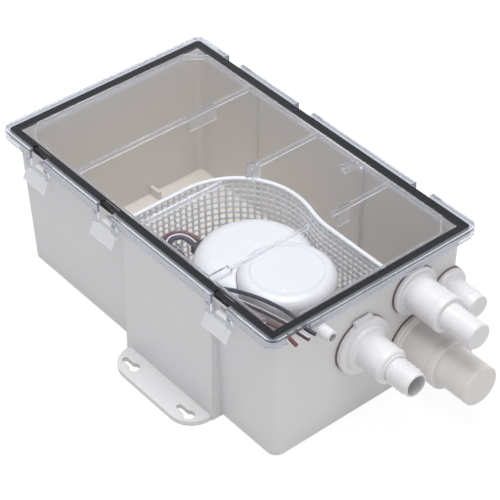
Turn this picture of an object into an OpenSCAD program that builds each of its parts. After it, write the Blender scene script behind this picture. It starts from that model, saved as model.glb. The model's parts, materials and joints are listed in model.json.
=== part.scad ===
// Shower sump pump: a clear-lidded tub that catches shower water, with a filter screen across it,
// an automatic pump inside, a barbed outlet and three closed, cut-to-size hose inlets.
// Millimetres. +X points to the port wall, -Y to the wall with the foot that shows, +Z up.
// The origin is the centre of the tub's footprint, on the surface it stands on.

/* [Tub] */
// Outer length of the tub at the floor
tub_l = 300; // [290:1:330]
// Outer width of the tub at the floor
tub_w = 172; // [168:1:190]
// Height of the rim's top face
tub_h = 121; // [118:1:135]
// Thickness of the walls
wall_t = 3; // [2.5:0.1:3.5]
// Thickness of the floor
floor_t = 3; // [2.5:0.1:4]
// How far each wall leans out from floor to rim
wall_lean = 3; // [2:0.1:4]
// Outer radius of the upright corners
corner_r = 8; // [6:0.5:12]
// How far the rim flange stands out from the wall
rim_out = 3.5; // [3:0.1:5]
// Thickness of the rim flange
rim_t = 3; // [2.5:0.1:4]
// Diameter of the holes in the tub for the pump's base screws
pilot_d = 2.6; // [2:0.1:3]

/* [Feet] */
// Length of a foot along the wall
foot_l = 98; // [90:1:110]
// How far a foot reaches out from the wall's base
foot_reach = 31; // [28:1:40]
// Thickness of a foot
foot_t = 4; // [3:0.5:6]
// Radius of a foot's outer corners
foot_r = 20; // [10:1:24]
// Centre of the foot along the tub
foot_x = 40; // [30:1:45]
// How far the pad above a foot stands out from the wall's base
pad_out = 9; // [7:0.5:11]
// Distance between the two keyholes of a foot
key_pitch = 66; // [60:1:70]
// Overall length of a keyhole
key_l = 18; // [16:0.5:22]
// Width of a keyhole's narrow end
key_slot_w = 4.6; // [4:0.1:5.5]
// Diameter of a keyhole's round end
key_d = 9; // [8:0.1:10]

/* [Lid and gasket] */
// Width of the gasket on the rim
gasket_w = 6.5; // [5:0.1:6.5]
// Thickness of the gasket once pressed
gasket_t = 2; // [1.5:0.1:3]
// Thickness of the lid plate
lid_t = 2.5; // [2:0.1:3.5]
// How far the lid reaches past the rim on each side
lid_over = 4; // [3.5:0.1:5]
// Thickness of the lid's skirt
skirt_t = 2; // [1.5:0.1:2.4]
// Height of the lid from the skirt's lower edge to the top
lid_h = 8; // [7.5:0.1:9]
// Distance from the centre rib to the ribs on each side
rib_pitch = 80; // [70:1:84]
// Depth of the lid ribs under the plate
rib_depth = 4; // [3:0.5:5]
// Thickness of the lid ribs
rib_t = 2; // [1.5:0.1:3]

/* [Latches] */
// Width of the gap in the skirt at each latch
latch_gap = 17.5; // [16:0.5:20]
// Width of a latch's finger tab
tab_w = 27.5; // [25:0.5:30]
// Height of a latch's finger tab
tab_h = 10; // [8:0.5:12]
// Length of a latch's legs
leg_l = 8; // [7.5:0.5:10]
// Width of a latch's leg
leg_w = 5; // [4:0.1:5.5]
// Thickness of a latch
latch_t = 2; // [1.6:0.1:2.4]

/* [Filter screen] */
// Thickness of the screen's wall
screen_t = 2.2; // [1.8:0.1:2.6]
// How far the screen's rear leg stands from the port wall's base
screen_reach = 174; // [168:1:176]
// How far the screen's side leg stands from the tub's centre line
screen_y = 25.8; // [25.5:0.1:26.5]
// How far the screen bows out past its side leg
screen_bow = 6.7; // [5:0.1:8]
// Radius of the screen's large curve
screen_r = 58.2; // [55:0.1:59]
// Pitch of the screen's openings, drawn coarser than the fine mesh of the real screen
mesh_pitch = 9.6; // [9:0.1:12]
// Width of the bars between the openings
mesh_bar = 2.6; // [2:0.1:3.5]

/* [Ports] */
// Bore of the outlet
outlet_bore_d = 16; // [14:0.5:17]
// Diameter of the outlet's hose barb between its ribs, for a 19 mm hose
outlet_barb_d = 19.2; // [19:0.1:20]
// Diameter of the outlet's upper step, for a 28 mm hose
outlet_step_d = 28.4; // [27:0.1:30]
// Diameter of the outlet's flange
outlet_flange_d = 46.8; // [44:0.5:48]
// Length of the outlet from flange to end
outlet_l = 56; // [50:1:62]
// Diameter of the large inlet's first step, for a 38 mm hose
large_step_d = 40.4; // [39:0.1:41]
// Diameter of the large inlet's second step, for a 32 mm hose
large_end_d = 32; // [31:0.1:33]
// Diameter of the large inlet's flange
large_flange_d = 51; // [49:0.5:51.5]
// Length of the large inlet from flange to end
large_l = 66.5; // [60:0.5:70]
// Diameter of the medium inlet's first step, for a 28 mm hose
medium_step_d = 28.8; // [28:0.1:30]
// Diameter of the medium inlet's second step, for a 19 mm hose
medium_end_d = 20.4; // [19:0.1:22]
// Diameter of the medium inlet's flange
medium_flange_d = 39.6; // [38:0.5:40]
// Length of the medium inlet from flange to end
medium_l = 65.5; // [60:0.5:70]
// Diameter of the small inlet, for a 19 mm hose
small_end_d = 19.6; // [19:0.1:20.5]
// Diameter of the small inlet's flange
small_flange_d = 30.4; // [29:0.1:31]
// Length of the small inlet from flange to end
small_l = 31; // [28:0.5:36]
// Diameter of the vent nipple
vent_d = 9.8; // [9:0.1:11]
// Bore of the vent nipple
vent_bore_d = 6.4; // [5:0.1:7]

/* [Pump] */
// Diameter of the motor housing
motor_d = 73; // [71:0.5:74]
// Height of the motor housing's top above the tub's floor
pump_h = 100; // [98:0.5:102]
// Diameter of the switch housing
switch_d = 92; // [88:0.5:93]
// Height of the switch housing's top above the tub's floor
switch_h = 93; // [90:0.5:94]
// Thickness of the pump's housings
shell_t = 2.5; // [2:0.1:3]
// Diameter of the motor can
can_d = 56; // [54:0.5:60]
// Diameter of the motor shaft
shaft_d = 5; // [4:0.1:6]
// Diameter of the impeller
impeller_d = 42; // [36:0.5:44]
// Bore of the pump's discharge pipe
pipe_bore_d = 13; // [12:0.5:14]
// Outer diameter of the pump's discharge pipe
pipe_d = 17; // [16.5:0.1:17.5]
// Number of impeller blades
blade_n = 6; // [4:1:8]
// Diameter of the float
float_d = 30; // [26:0.5:31]
// Height of the float
float_h = 16; // [14:0.5:20]
// Travel of the float on its stem
float_travel = 18; // [15:0.5:20]

/* [Wires] */
// Outer diameter of a wire
wire_d = 3; // [2.6:0.1:3.1]

/* [Hidden] */

$fn = 64;
// Overrun of every cut past the face it opens
over = 1;
// Clearance between pieces that move past each other or stand apart
gap = 0.3;
// Radial running clearance of the shaft and the float
run_gap = 0.05;
slide_gap = 0.4;

// Tub: values worked out from the sizes above
lean_rate = wall_lean / tub_h;
bottom_edge = 2;
inner_r = corner_r - wall_t;
open_l = tub_l + 2 * wall_lean - 2 * wall_t;
open_w = tub_w + 2 * wall_lean - 2 * wall_t;
rim_l = tub_l + 2 * wall_lean + 2 * rim_out;
rim_w = tub_w + 2 * wall_lean + 2 * rim_out;
rim_r = 3.5;
function end_out(z) = tub_l / 2 + lean_rate * z;
function end_in(z) = end_out(z) - wall_t;
function side_out(z) = tub_w / 2 + lean_rate * z;
function side_in(z) = side_out(z) - wall_t;

// Feet
pad_l = 103;
pad_x = 38.5;
pad_top_out = 3;
key_edge = 10.5;
key_y = tub_w / 2 + foot_reach - key_edge;

// Inner ribs of the far wall and the rear wall
wall_rib_w = 3;
wall_rib_out = 2.5;
thin_rib_w = 1.5;
thin_rib_out = 1.2;
wall_rib_x = 48.5;
thin_rib_x = -73.5;
floor_rib_l = 11;
floor_rib_h = 9;
floor_rib_y = 31;

// Catches that the latches hook on
catch_w = 12;
catch_h = 4.5;
latch_x = [-113.5, -28, 104];

// Wire notch in the rim of the port wall
notch_y0 = -82;
notch_y1 = -62;
notch_h = 4;

// Lid
lid_l = rim_l + 2 * lid_over;
lid_w = rim_w + 2 * lid_over;
lid_r = 8;
gasket_corner = 0.6;
lid_under = tub_h + gasket_t;
lid_top = lid_under + lid_t;
skirt_z = lid_top - lid_h;
lip_h = 4;
lip_t = 1.6;
lip_chamfer = 14;
lid_recess_w = 5.5;
lid_recess_l = 20;
lid_recess_depth = 0.8;
rib_end_gap = 4;
fork_l = 10;
fork_w = 9;
deep_y0 = 22;
deep_y1 = 49;
deep_depth = 15.5;
tab_y0 = 33.7;
tab_y1 = 45;
tab_depth = 16.7;
hook_x = 45;
hook_w = 7;
hook_l = 13;
over_pump_depth = 3;
stub_y = 67;
stub_w = 6;

// Latches
hinge_z = skirt_z - gap - latch_t / 2;
hinge_y = lid_w / 2 - skirt_t / 2 + 0.4 * latch_t;
tab_flare = 4.4;
bar_h = 3;

// Filter screen: a straight rear leg, one large curve, a gentle double bend and a straight side leg
screen_drop = 11;
screen_top = tub_h - screen_drop;
screen_x = tub_l / 2 - screen_reach;
curve_x = screen_x + screen_r;
curve_y = screen_y + screen_bow - screen_r;
screen_at_fork = curve_y + sqrt(screen_r * screen_r - curve_x * curve_x);
bend_run = 45;
bend_turn = 2 * atan(screen_bow / bend_run);
bend_r = bend_run / (2 * sin(bend_turn));
screen_rim_h = 3;
screen_bead = 1.2;
screen_rim_t = screen_t + screen_bead;
screen_foot = 5;
mesh_rows = floor((screen_top - screen_rim_h - screen_foot - floor_t) / mesh_pitch);
guide_t = 1.4;
guide_out = 5;
guide_h = 16;
guide_mid_z = 61;
guide_mid_h = 12;

// Ports: places on the port wall
seal_t = 1.2;
outlet_y = -8;
outlet_drop = 52.7;
outlet_z = tub_h - outlet_drop;
large_y = 46.7;
large_z = 40.4;
medium_y = 41.2;
medium_drop = 29.8;
medium_z = tub_h - medium_drop;
small_side = 10;
small_y = tub_w / 2 - small_side;
small_drop = 45.6;
small_z = tub_h - small_drop;
vent_y = -50.3;
vent_drop = 10.6;
vent_z = tub_h - vent_drop;
flange_t = 3.5;
spigot_gap = 0.2;
outlet_spigot_d = 23;
large_spigot_d = 30.6;
medium_spigot_d = 22;
large_end_l = 29;
medium_end_l = 29.5;
small_spigot_d = 14;
small_spigot_out = 1.5;
fit_wall = 2.4;
nut_t = 5;
nut_rim = 1.9;
collar_d = 37.2;
collar_l = 6.5;
outlet_step_l = 26;
shoulder_l = 7;
barb_n = 4;
barb_rib = 1;
barb_pitch = 4.2;
key_tab_w = 15.5;
key_tab_h = 26;
key_tab_y = -1.2;
vent_l = 17;
vent_collar = 2;

// Pump: places
motor_end = 60;
motor_x = tub_l / 2 - motor_end;
motor_y = -23;
lobe_x = 38;
lobe_y = 1;
switch_x = motor_x - lobe_x;
switch_y = motor_y + lobe_y;
top_round = 9;
dome_round = 15;
pipe_y = outlet_y;
pipe_rise = 23;
pipe_z = floor_t + pipe_rise;
pipe_end = 14;
pipe_x = tub_l / 2 - pipe_end;
stand_h = 21;
shell_z = floor_t + stand_h;
label_d = 54;
label_depth = 0.4;

// Pump base
boss_h = 5;
plate_z = floor_t + boss_h;
plate_t = 2.5;
slot_w = 4;
slot_h = 9;
slot_pitch_deg = 12;
boss_d = 8;
screw_d = 3.2;
screw_head_d = 6;
screw_head_h = 2;
screw_l = 6.5;
screw_places = [[motor_x + 0.3 * motor_d, motor_y - 0.22 * motor_d],
  [switch_x - 0.15 * switch_d, switch_y - 0.27 * switch_d],
  [switch_x - 0.15 * switch_d, switch_y + 0.27 * switch_d]];

// Volute, impeller and motor
volute_rise = 11;
volute_z = floor_t + volute_rise;
volute_d = 60;
volute_wall = 2.5;
volute_h = 22;
volute_top = volute_z + volute_h;
eye_d = 20;
chamber_d = 50;
impeller_gap = 1;
impeller_z = volute_z + volute_wall + impeller_gap;
impeller_h = 12;
impeller_disc = 2;
hub_d = 12;
blade_t = 2;
can_t = 1.5;
can_bottom_t = 2;
can_z = volute_top;
can_h = 54;
seal_d = 12;
seal_h = 4;
bearing_d = 14;
bearing_h = 5;
bearing_boss_d = 18;
armature_d = 34;
armature_rise = 13;
armature_z = can_z + armature_rise;
armature_h = 22;
armature_slots = 5;
magnet_t = 5;
magnet_h = 26;
commutator_d = 14;
commutator_h = 6;
cap_t = 2.5;
brush_w = 4;
brush_h = 4;

// Float switch
stem_back = 24;
stem_x = switch_x - stem_back;
stem_y = switch_y;
stem_d = 8;
stem_bore_d = 4;
stem_rise = 20;
stem_z = floor_t + stem_rise;
stem_top = floor_t + switch_h - 2 * shell_t;
reed_l = 16;
float_rest = 5;
float_z = stem_z + float_rest;
float_magnet_d = 16;
float_magnet_h = 5;
stop_d = 12;
stop_h = 2.5;

// Discharge hose
hose_t = 2;
elbow_reach = 12;
hose_z0 = pipe_z + elbow_reach;
elbow_drop = 14.5;
elbow_tail = 20;
hose_z1 = outlet_z - elbow_drop;
clamp_w = 5;
clamp_t = 0.9;

// Wires: the three run side by side out of the grommet, round a loop, through the tie, along the
// near wall and out through the notch, where they end cut off
wire_sides = 8;
wire_rings = 27;
grommet_out = 3;
grommet_x = switch_x - switch_d / 2 - grommet_out;
grommet_side = 14.2;
grommet_y = switch_y - grommet_side;
grommet_z = 78;
grommet_w = 13.5;
grommet_h = 7;
grommet_l = 13;
tie_back = 4.5;
tie_at = [grommet_x - tie_back, -57.8, 81.75];
tie_w = 4;
tie_t = 1.4;
tie_inner_w = 3 * wire_d + 3 * gap;
black_route = [[3, -39.4, 78], [-4, -39.4, 79], [-9.4, -41.6, 80], [-11.6, -47, 80.5], [-9.4, -52.4, 81],
  [-4, -54.6, 81.5], [4, -54.6, 82], [12, -56, 83], [25, -62, 86], [35, -66.5, 88.5], [45, -69.8, 91],
  [58, -70.4, 94.5], [70, -67.5, 97.5], [82, -62.8, 100], [100, -58.5, 103.5], [121, -57, 108],
  [138, -59.5, 113.5], [148, -63.3, 118.4], [153, -64.2, 118.8], [158, -64.1, 118.8], [162, -63.6, 118.6],
  [166, -62.6, 118.3]];
striped_route = [[3, -36.2, 78], [-4, -36.2, 79], [-11.6, -39.4, 80], [-14.8, -47, 80.5],
  [-11.6, -54.6, 81], [-4, -57.8, 81.5], [4, -57.8, 82], [12, -59.3, 83], [25, -65.5, 86],
  [35, -70, 88.5], [45, -73.4, 91.5], [58, -74, 95], [70, -73.5, 98], [82, -72, 100.5],
  [100, -70, 104.5], [121, -69.3, 110], [138, -70, 115], [148, -71, 118.4], [153, -71, 118.8],
  [158, -70.7, 118.8], [162, -70.1, 118.6], [167, -69.3, 118.3]];
brown_route = [[3, -33, 78], [-4, -33, 79], [-13.9, -37.1, 80], [-18, -47, 80.5],
  [-13.9, -56.9, 81], [-4, -61, 81.5], [4, -61, 82], [12, -62.6, 83], [25, -69, 86],
  [35, -73.5, 88.5], [45, -77, 91.5], [58, -78, 95], [70, -78, 98], [82, -77.5, 100.5],
  [100, -77, 105], [121, -76.8, 110.5], [138, -77.3, 115.3], [148, -78, 118.4], [153, -78.6, 118.8],
  [158, -78.9, 118.8], [162, -79.2, 118.6], [166, -79.5, 118.3]];

// Points of an arc, for rounded profiles
function arc(cx, cy, r, a0, a1, n = 6) =
  [for (i = [0 : n]) [cx + r * cos(a0 + (a1 - a0) * i / n), cy + r * sin(a0 + (a1 - a0) * i / n)]];

// A rectangle with round corners, drawn with true arcs
module round_rect(l, w, r) {
  square([l - 2 * r, w], center = true);
  square([l, w - 2 * r], center = true);
  for (x = [-1, 1], y = [-1, 1])
    translate([x * (l / 2 - r), y * (w / 2 - r)])
      circle(r);
}

// A flat plate with round corners
module plate(l, w, r, z, h) {
  translate([0, 0, z])
    linear_extrude(h)
      round_rect(l, w, r);
}

// A round bar along +Z
module bar(d, z, h) {
  translate([0, 0, z])
    cylinder(d = d, h = h);
}

// A tube along +Z with its bore cut right through
module tube(d, bore, z, h) {
  difference() {
    bar(d, z, h);
    bar(bore, z - over, h + 2 * over);
  }
}

// Turns a shape made along +Z to lie along +X, with its start on the plane x
module along_x(x, y, z) {
  translate([x, y, z])
    rotate([0, 90, 0])
      children();
}

// A copy of a shape on the far side, turned half a turn about the upright axis
module both_sides() {
  children();
  rotate(180)
    children();
}

// Tub

// Solid whose walls lean out as the tub's do, held in from the tub's outer faces by inset
module leaning_box(inset, z0, z1, r, edge) {
  lip = 0.01 * wall_t;
  hull() {
    if (edge > 0)
      plate(tub_l - 2 * edge, tub_w - 2 * edge, r - edge, z0, lip);
    plate(tub_l + 2 * lean_rate * (z0 + edge) - 2 * inset, tub_w + 2 * lean_rate * (z0 + edge) - 2 * inset,
      r, z0 + edge, lip);
    plate(tub_l + 2 * lean_rate * z1 - 2 * inset, tub_w + 2 * lean_rate * z1 - 2 * inset, r, z1 - lip, lip);
  }
}

// Pad that thickens the wall above a foot, leaning in towards the rim
module foot_pad() {
  top = tub_h - rim_t;
  root = tub_w / 2 - wall_t / 2;
  translate([pad_x - pad_l / 2, 0, 0])
    rotate([90, 0, 90])
      linear_extrude(pad_l)
        polygon([[-root, 0], [-tub_w / 2 - pad_out, 0], [-side_out(top) - pad_top_out, top],
          [-side_out(top) + wall_t / 2, top]]);
}

// Foot plate with two keyholes
module foot() {
  difference() {
    translate([foot_x - foot_l / 2, 0, 0])
      linear_extrude(foot_t)
        difference() {
          union() {
            translate([0, -tub_w / 2 - foot_reach + foot_r])
              square([foot_l, foot_reach - foot_r + wall_t / 2]);
            translate([foot_r, -tub_w / 2 - foot_reach])
              square([foot_l - 2 * foot_r, foot_reach]);
            for (x = [foot_r, foot_l - foot_r])
              translate([x, -tub_w / 2 - foot_reach + foot_r])
                circle(foot_r);
          }
        }
    for (i = [-1, 1])
      translate([foot_x + i * key_pitch / 2, -key_y, 0])
        keyhole();
  }
}

// Keyhole cutter, centred on its overall length, with the round end towards +X
module keyhole() {
  straight = key_l - key_d / 2 - key_slot_w / 2;
  translate([-key_l / 2 + key_slot_w / 2, -key_slot_w / 2, -over])
    cube([straight, key_slot_w, foot_t + 2 * over]);
  translate([-key_l / 2 + key_slot_w / 2, 0, 0])
    bar(key_slot_w, -over, foot_t + 2 * over);
  translate([key_l / 2 - key_d / 2, 0, 0])
    bar(key_d, -over, foot_t + 2 * over);
}

// Catch lug under the rim, which a latch bar passes
module catch_lug(x) {
  reach = hinge_y - latch_t / 2 - gap;
  top = hinge_z - leg_l + 2 * gap + catch_h;
  root = side_out(top) - wall_t / 2;
  translate([x - catch_w / 2, 0, 0])
    rotate([90, 0, 90])
      linear_extrude(catch_w)
        polygon([[-root, top - catch_h], [-reach, top - catch_h], [-reach, top - catch_h / 2], [-root, top]]);
}

// Upright channel that holds the screen's edge, with its back on a wall at the origin and open to +X
module screen_guide(z0, h) {
  slot = screen_t + 2 * gap;
  for (s = [-1, 1])
    translate([-wall_t / 2, s * (slot + guide_t) / 2 - guide_t / 2, z0])
      cube([guide_out + wall_t / 2, guide_t, h]);
}

module tub() {
  color([0.85, 0.84, 0.81])
    difference() {
      union() {
        difference() {
          union() {
            leaning_box(0, 0, tub_h, corner_r, bottom_edge);
            plate(rim_l, rim_w, rim_r, tub_h - rim_t, rim_t);
            both_sides()
              foot_pad();
            both_sides()
              foot();
            for (x = latch_x) {
              catch_lug(x);
              mirror([0, 1, 0])
                catch_lug(x);
            }
          }
          leaning_box(wall_t, floor_t, tub_h + over, inner_r, 0);
        }
        tub_inside();
      }
      port_holes();
      wire_notch();
      for (p = screw_places)
        translate([p[0], p[1], 0])
          bar(pilot_d, floor_t / 2, plate_z);
    }
}

// Ribs, bosses and channels moulded inside the tub
module tub_inside() {
  rib_h = tub_h - rim_t - floor_t;
  translate([wall_rib_x - wall_rib_w / 2, side_in(floor_t) - wall_rib_out, floor_t / 2])
    leaning_rib(wall_rib_w, wall_rib_out, rib_h);
  translate([thin_rib_x - thin_rib_w / 2, side_in(floor_t) - thin_rib_out, floor_t / 2])
    leaning_rib(thin_rib_w, thin_rib_out, rib_h);
  translate([-end_in(floor_t) - wall_t / 2, floor_rib_y - wall_rib_w / 2, floor_t / 2])
    cube([floor_rib_l + wall_t / 2, wall_rib_w, floor_rib_h]);
  for (p = screw_places)
    translate([p[0], p[1], 0])
      bar(boss_d, floor_t / 2, plate_z - floor_t / 2);
  translate([screen_x, -side_in(0), 0])
    rotate(90)
      screen_guide(floor_t / 2, guide_h);
  translate([screen_x, -side_in(tub_h / 2), 0])
    rotate(90)
      screen_guide(guide_mid_z, guide_mid_h);
  translate([end_in(0), screen_y, 0])
    rotate(180)
      screen_guide(floor_t / 2, guide_h);
  translate([end_in(guide_mid_z), screen_y, 0])
    rotate(180)
      screen_guide(guide_mid_z, guide_mid_h);
}

// Rib that leans with the far wall: its foot is at the origin and it runs up into the wall
module leaning_rib(w, out, h) {
  rotate([90, 0, 90])
    linear_extrude(w)
      polygon([[0, 0], [out + wall_t / 2, 0], [out + wall_t / 2 + lean_rate * h, h], [lean_rate * h, h]]);
}

// Round holes for the fittings in the port wall
module port_holes() {
  hole(outlet_y, outlet_z, outlet_spigot_d);
  hole(large_y, large_z, large_spigot_d);
  hole(medium_y, medium_z, medium_spigot_d);
  hole(small_y, small_z, small_spigot_d);
  hole(vent_y, vent_z, vent_d + vent_collar / 4);
}

module hole(y, z, d) {
  along_x(end_in(z) - 2 * over, y, z)
    bar(d + 2 * spigot_gap, 0, wall_t + 4 * over);
}

// Notch in the rim that the wires leave through
module wire_notch() {
  translate([open_l / 2 - 2 * wall_t, notch_y0, tub_h - notch_h])
    cube([rim_l / 2 - open_l / 2 + 2 * wall_t + over, notch_y1 - notch_y0, notch_h + over]);
}

// Gasket on the rim
module rim_gasket() {
  color([0.12, 0.12, 0.13])
    difference() {
      plate(open_l + 2 * gasket_w, open_w + 2 * gasket_w, rim_r, tub_h, gasket_t);
      plate(open_l, open_w, gasket_corner, tub_h - over, gasket_t + 2 * over);
    }
}

// Lid

// Ring under the plate that centres the lid in the opening, with cut-off corners
module lid_lip() {
  l = open_l - 2 * gap - lip_t;
  w = open_w - 2 * gap - lip_t;
  translate([0, 0, lid_under - lip_h])
    linear_extrude(lip_h + lid_t / 2)
      difference() {
        cut_corner_rect(l, w, lip_chamfer);
        cut_corner_rect(l - 2 * lip_t, w - 2 * lip_t, lip_chamfer - lip_t / 2);
      }
}

module cut_corner_rect(l, w, c) {
  polygon([[-l / 2 + c, -w / 2], [l / 2 - c, -w / 2], [l / 2, -w / 2 + c], [l / 2, w / 2 - c],
    [l / 2 - c, w / 2], [-l / 2 + c, w / 2], [-l / 2, w / 2 - c], [-l / 2, -w / 2 + c]]);
}

// Rib across the lid, from y0 to y1 and down by depth
module lid_rib(x, y0, y1, depth, t = rib_t) {
  translate([x - t / 2, y0, lid_under - depth])
    cube([t, y1 - y0, depth + lid_t / 2]);
}

// Fork that bears down on the screen's rim
module lid_fork() {
  depth = lid_under - screen_top - gap;
  for (s = [-1, 1])
    translate([0, screen_at_fork, lid_under - depth])
      linear_extrude(depth + lid_t / 2)
        polygon([[s * fork_w / 2, -fork_l / 2], [s * (fork_w / 2 - rib_t), -fork_l / 2],
          [-s * rib_t / 4, fork_l / 2], [s * rib_t / 2, fork_l / 2]]);
}

// U-shaped hook beside the far wall's rib
module lid_hook() {
  y1 = open_w / 2 - rib_end_gap;
  for (s = [-1, 1])
    lid_rib(hook_x + s * (hook_w - rib_t) / 2, y1 - hook_l, y1, rib_depth + rib_t / 2, rib_t / 2);
  translate([hook_x - hook_w / 2, y1 - hook_l, lid_under - rib_depth - rib_t / 2])
    cube([hook_w, rib_t / 2, rib_depth + lid_t / 2 + rib_t / 2]);
}

module lid_ribs() {
  y1 = open_w / 2 - gap - lip_t;
  lid_rib(-rib_pitch, -y1, y1, rib_depth);
  lid_rib(-rib_pitch, deep_y0, deep_y1, deep_depth, rib_t / 2);
  lid_rib(0, -y1, -fork_l, rib_depth);
  lid_rib(0, screen_y, y1, rib_depth);
  lid_rib(rib_pitch, -y1, rib_end_gap, over_pump_depth);
  translate([rib_pitch, rib_end_gap, lid_under - over_pump_depth])
    cylinder(d = 1.5 * rib_t, h = over_pump_depth + lid_t / 2);
  lid_rib(rib_pitch, -y1, -stub_y, rib_depth, stub_w);
  lid_rib(rib_pitch, screen_y + rib_t, y1, rib_depth);
  lid_rib(rib_pitch, tab_y0, tab_y1, tab_depth, rib_t / 2);
}

// Room for a latch: the gap in the skirt and plate edge, and the shallow recess beside it
module latch_room(x) {
  translate([x - latch_gap / 2, -lid_w / 2 - over, skirt_z - over])
    cube([latch_gap, over + lid_over + rim_out / 8, lid_h + 2 * over]);
  translate([x, -rim_w / 2 + lid_recess_w / 4, lid_top - lid_recess_depth])
    linear_extrude(lid_recess_depth + over)
      round_rect(lid_recess_l, lid_recess_w, lid_recess_w / 2 - gap);
}

module lid() {
  color([0.82, 0.86, 0.9, 0.35])
    difference() {
      union() {
        difference() {
          plate(lid_l, lid_w, lid_r, skirt_z, lid_h);
          plate(lid_l - 2 * skirt_t, lid_w - 2 * skirt_t, lid_r - skirt_t, skirt_z - over,
            lid_h - lid_t + over);
        }
        lid_lip();
        lid_ribs();
        lid_fork();
        lid_hook();
      }
      for (x = latch_x) {
        latch_room(x);
        mirror([0, 1, 0])
          latch_room(x);
      }
      translate([open_l / 2 - lip_chamfer, notch_y0, skirt_z - over])
        cube([lip_chamfer + lid_l / 2 - open_l / 2 + over, notch_y1 - notch_y0, lid_h - lid_t + over]);
    }
}

// Latch of the near side: two legs, a bar under the catch and a flared finger tab
module latch(x) {
  leg_x = (tab_w - leg_w) / 2;
  foot_z = hinge_z - leg_l;
  color([0.86, 0.88, 0.9, 0.6])
    translate([x, -hinge_y, 0]) {
      for (s = [-1, 1]) {
        translate([s * leg_x - leg_w / 2, -latch_t / 2, foot_z])
          cube([leg_w, latch_t, leg_l]);
        translate([s * leg_x - leg_w / 2, 0, hinge_z])
          rotate([0, 90, 0])
            cylinder(d = latch_t, h = leg_w, $fn = 32);
      }
      translate([-tab_w / 2, -latch_t / 2, foot_z - bar_h])
        cube([tab_w, latch_t, bar_h]);
      translate([-tab_w / 2, 0, foot_z - bar_h])
        rotate([90, 0, 90])
          linear_extrude(tab_w)
            polygon([[-latch_t / 2, 0], [latch_t / 2, 0], [latch_t / 2, bar_h], [-latch_t / 2, bar_h],
              [-latch_t / 2 - tab_flare, bar_h - tab_h], [-tab_flare, bar_h - tab_h]]);
    }
}

module far_latch(x) {
  mirror([0, 1, 0])
    latch(x);
}

module latch_near_rear() {
  latch(latch_x[0]);
}

module latch_near_middle() {
  latch(latch_x[1]);
}

module latch_near_front() {
  latch(latch_x[2]);
}

module latch_far_rear() {
  far_latch(latch_x[0]);
}

module latch_far_middle() {
  far_latch(latch_x[1]);
}

module latch_far_front() {
  far_latch(latch_x[2]);
}

// Filter screen

// Part of a round wall between two angles, in plan
module arc_wall(cx, cy, r, t, a0, a1) {
  far = 2 * r;
  mid = (a0 + a1) / 2;
  translate([cx, cy])
    intersection() {
      difference() {
        circle(r + t / 2, $fn = 128);
        circle(r - t / 2, $fn = 128);
      }
      polygon([[0, 0], far * [cos(a0), sin(a0)], far * [cos(mid), sin(mid)] / cos((a1 - a0) / 2),
        far * [cos(a1), sin(a1)]]);
    }
}

// Plan of the screen's wall at thickness t, reaching to the walls at height z
module screen_plan(t, z) {
  leg_y = -side_in(z) + gap;
  side_x = curve_x + bend_run;
  translate([screen_x - t / 2, leg_y])
    square([t, curve_y - leg_y]);
  arc_wall(curve_x, curve_y, screen_r, t, 180, 90);
  arc_wall(curve_x, screen_y + screen_bow - bend_r, bend_r, t, 90, 90 - bend_turn);
  arc_wall(side_x, screen_y + bend_r, bend_r, t, 270 - bend_turn, 270);
  translate([side_x, screen_y - t / 2])
    square([end_in(z) - gap - side_x, t]);
}

// One column of openings, cut along the local Y axis
module mesh_column() {
  hole_w = mesh_pitch - mesh_bar;
  for (i = [0 : mesh_rows - 1])
    translate([-hole_w / 2, -screen_rim_t, floor_t + screen_foot + mesh_bar / 2 + i * mesh_pitch])
      cube([hole_w, 2 * screen_rim_t, hole_w]);
}

module filter_screen() {
  leg_y = -side_in(0) + guide_out + mesh_bar;
  leg_n = floor((curve_y - leg_y) / mesh_pitch);
  arc_n = floor(screen_r * PI / 2 / mesh_pitch);
  side_x = curve_x + bend_run;
  side_l = end_in(0) - guide_out - mesh_bar - side_x;
  side_n = floor(side_l / mesh_pitch);
  bend_n = floor(bend_run / 2 / mesh_pitch);
  color([0.93, 0.93, 0.92])
    difference() {
      union() {
        translate([0, 0, floor_t])
          linear_extrude(screen_top - floor_t - screen_rim_h)
            screen_plan(screen_t, floor_t);
        translate([0, 0, screen_top - screen_rim_h])
          linear_extrude(screen_rim_h)
            screen_plan(screen_rim_t, floor_t);
      }
      for (i = [0 : leg_n - 1])
        translate([screen_x, curve_y - (i + 0.5) * mesh_pitch, 0])
          rotate(90)
            mesh_column();
      for (i = [0 : arc_n - 1])
        translate([curve_x, curve_y, 0])
          rotate(90 * (i + 0.5) / arc_n)
            translate([0, screen_r, 0])
              mesh_column();
      for (i = [0 : bend_n - 1]) {
        turn = bend_turn * (i + 0.5) / bend_n;
        translate([curve_x, screen_y + screen_bow - bend_r, 0])
          rotate(-turn)
            translate([0, bend_r, 0])
              mesh_column();
        translate([side_x, screen_y + bend_r, 0])
          rotate(-turn)
            translate([0, -bend_r, 0])
              mesh_column();
      }
      for (i = [0 : side_n - 1])
        translate([side_x + (i + 0.5) * mesh_pitch, screen_y, 0])
          mesh_column();
    }
}

// Fittings in the port wall

// Plane of a flange's back, clear of the leaning wall by the seal
function flange_x(z, d) = end_out(z + d / 2) + seal_t;

// Seal between a flange and the leaning wall
module wall_seal(y, z, flange_d, spigot_d) {
  color([0.3, 0.25, 0.22])
    difference() {
      along_x(end_out(0), y, z)
        tube(flange_d + seal_t / 2, spigot_d + spigot_gap, 0, flange_x(z, flange_d) - end_out(0));
      leaning_box(0, 0, tub_h, corner_r, bottom_edge);
    }
}

// Round nut inside the port wall
module wall_nut(y, z, spigot_d) {
  d = spigot_d + 2 * nut_rim + 2 * spigot_gap;
  face = end_in(z - d / 2);
  color([0.9, 0.9, 0.88])
    along_x(face - nut_t, y, z)
      difference() {
        cylinder(d = d, h = nut_t);
        translate([0, 0, -over])
          cylinder(d = spigot_d, h = nut_t + 2 * over);
      }
}

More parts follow.
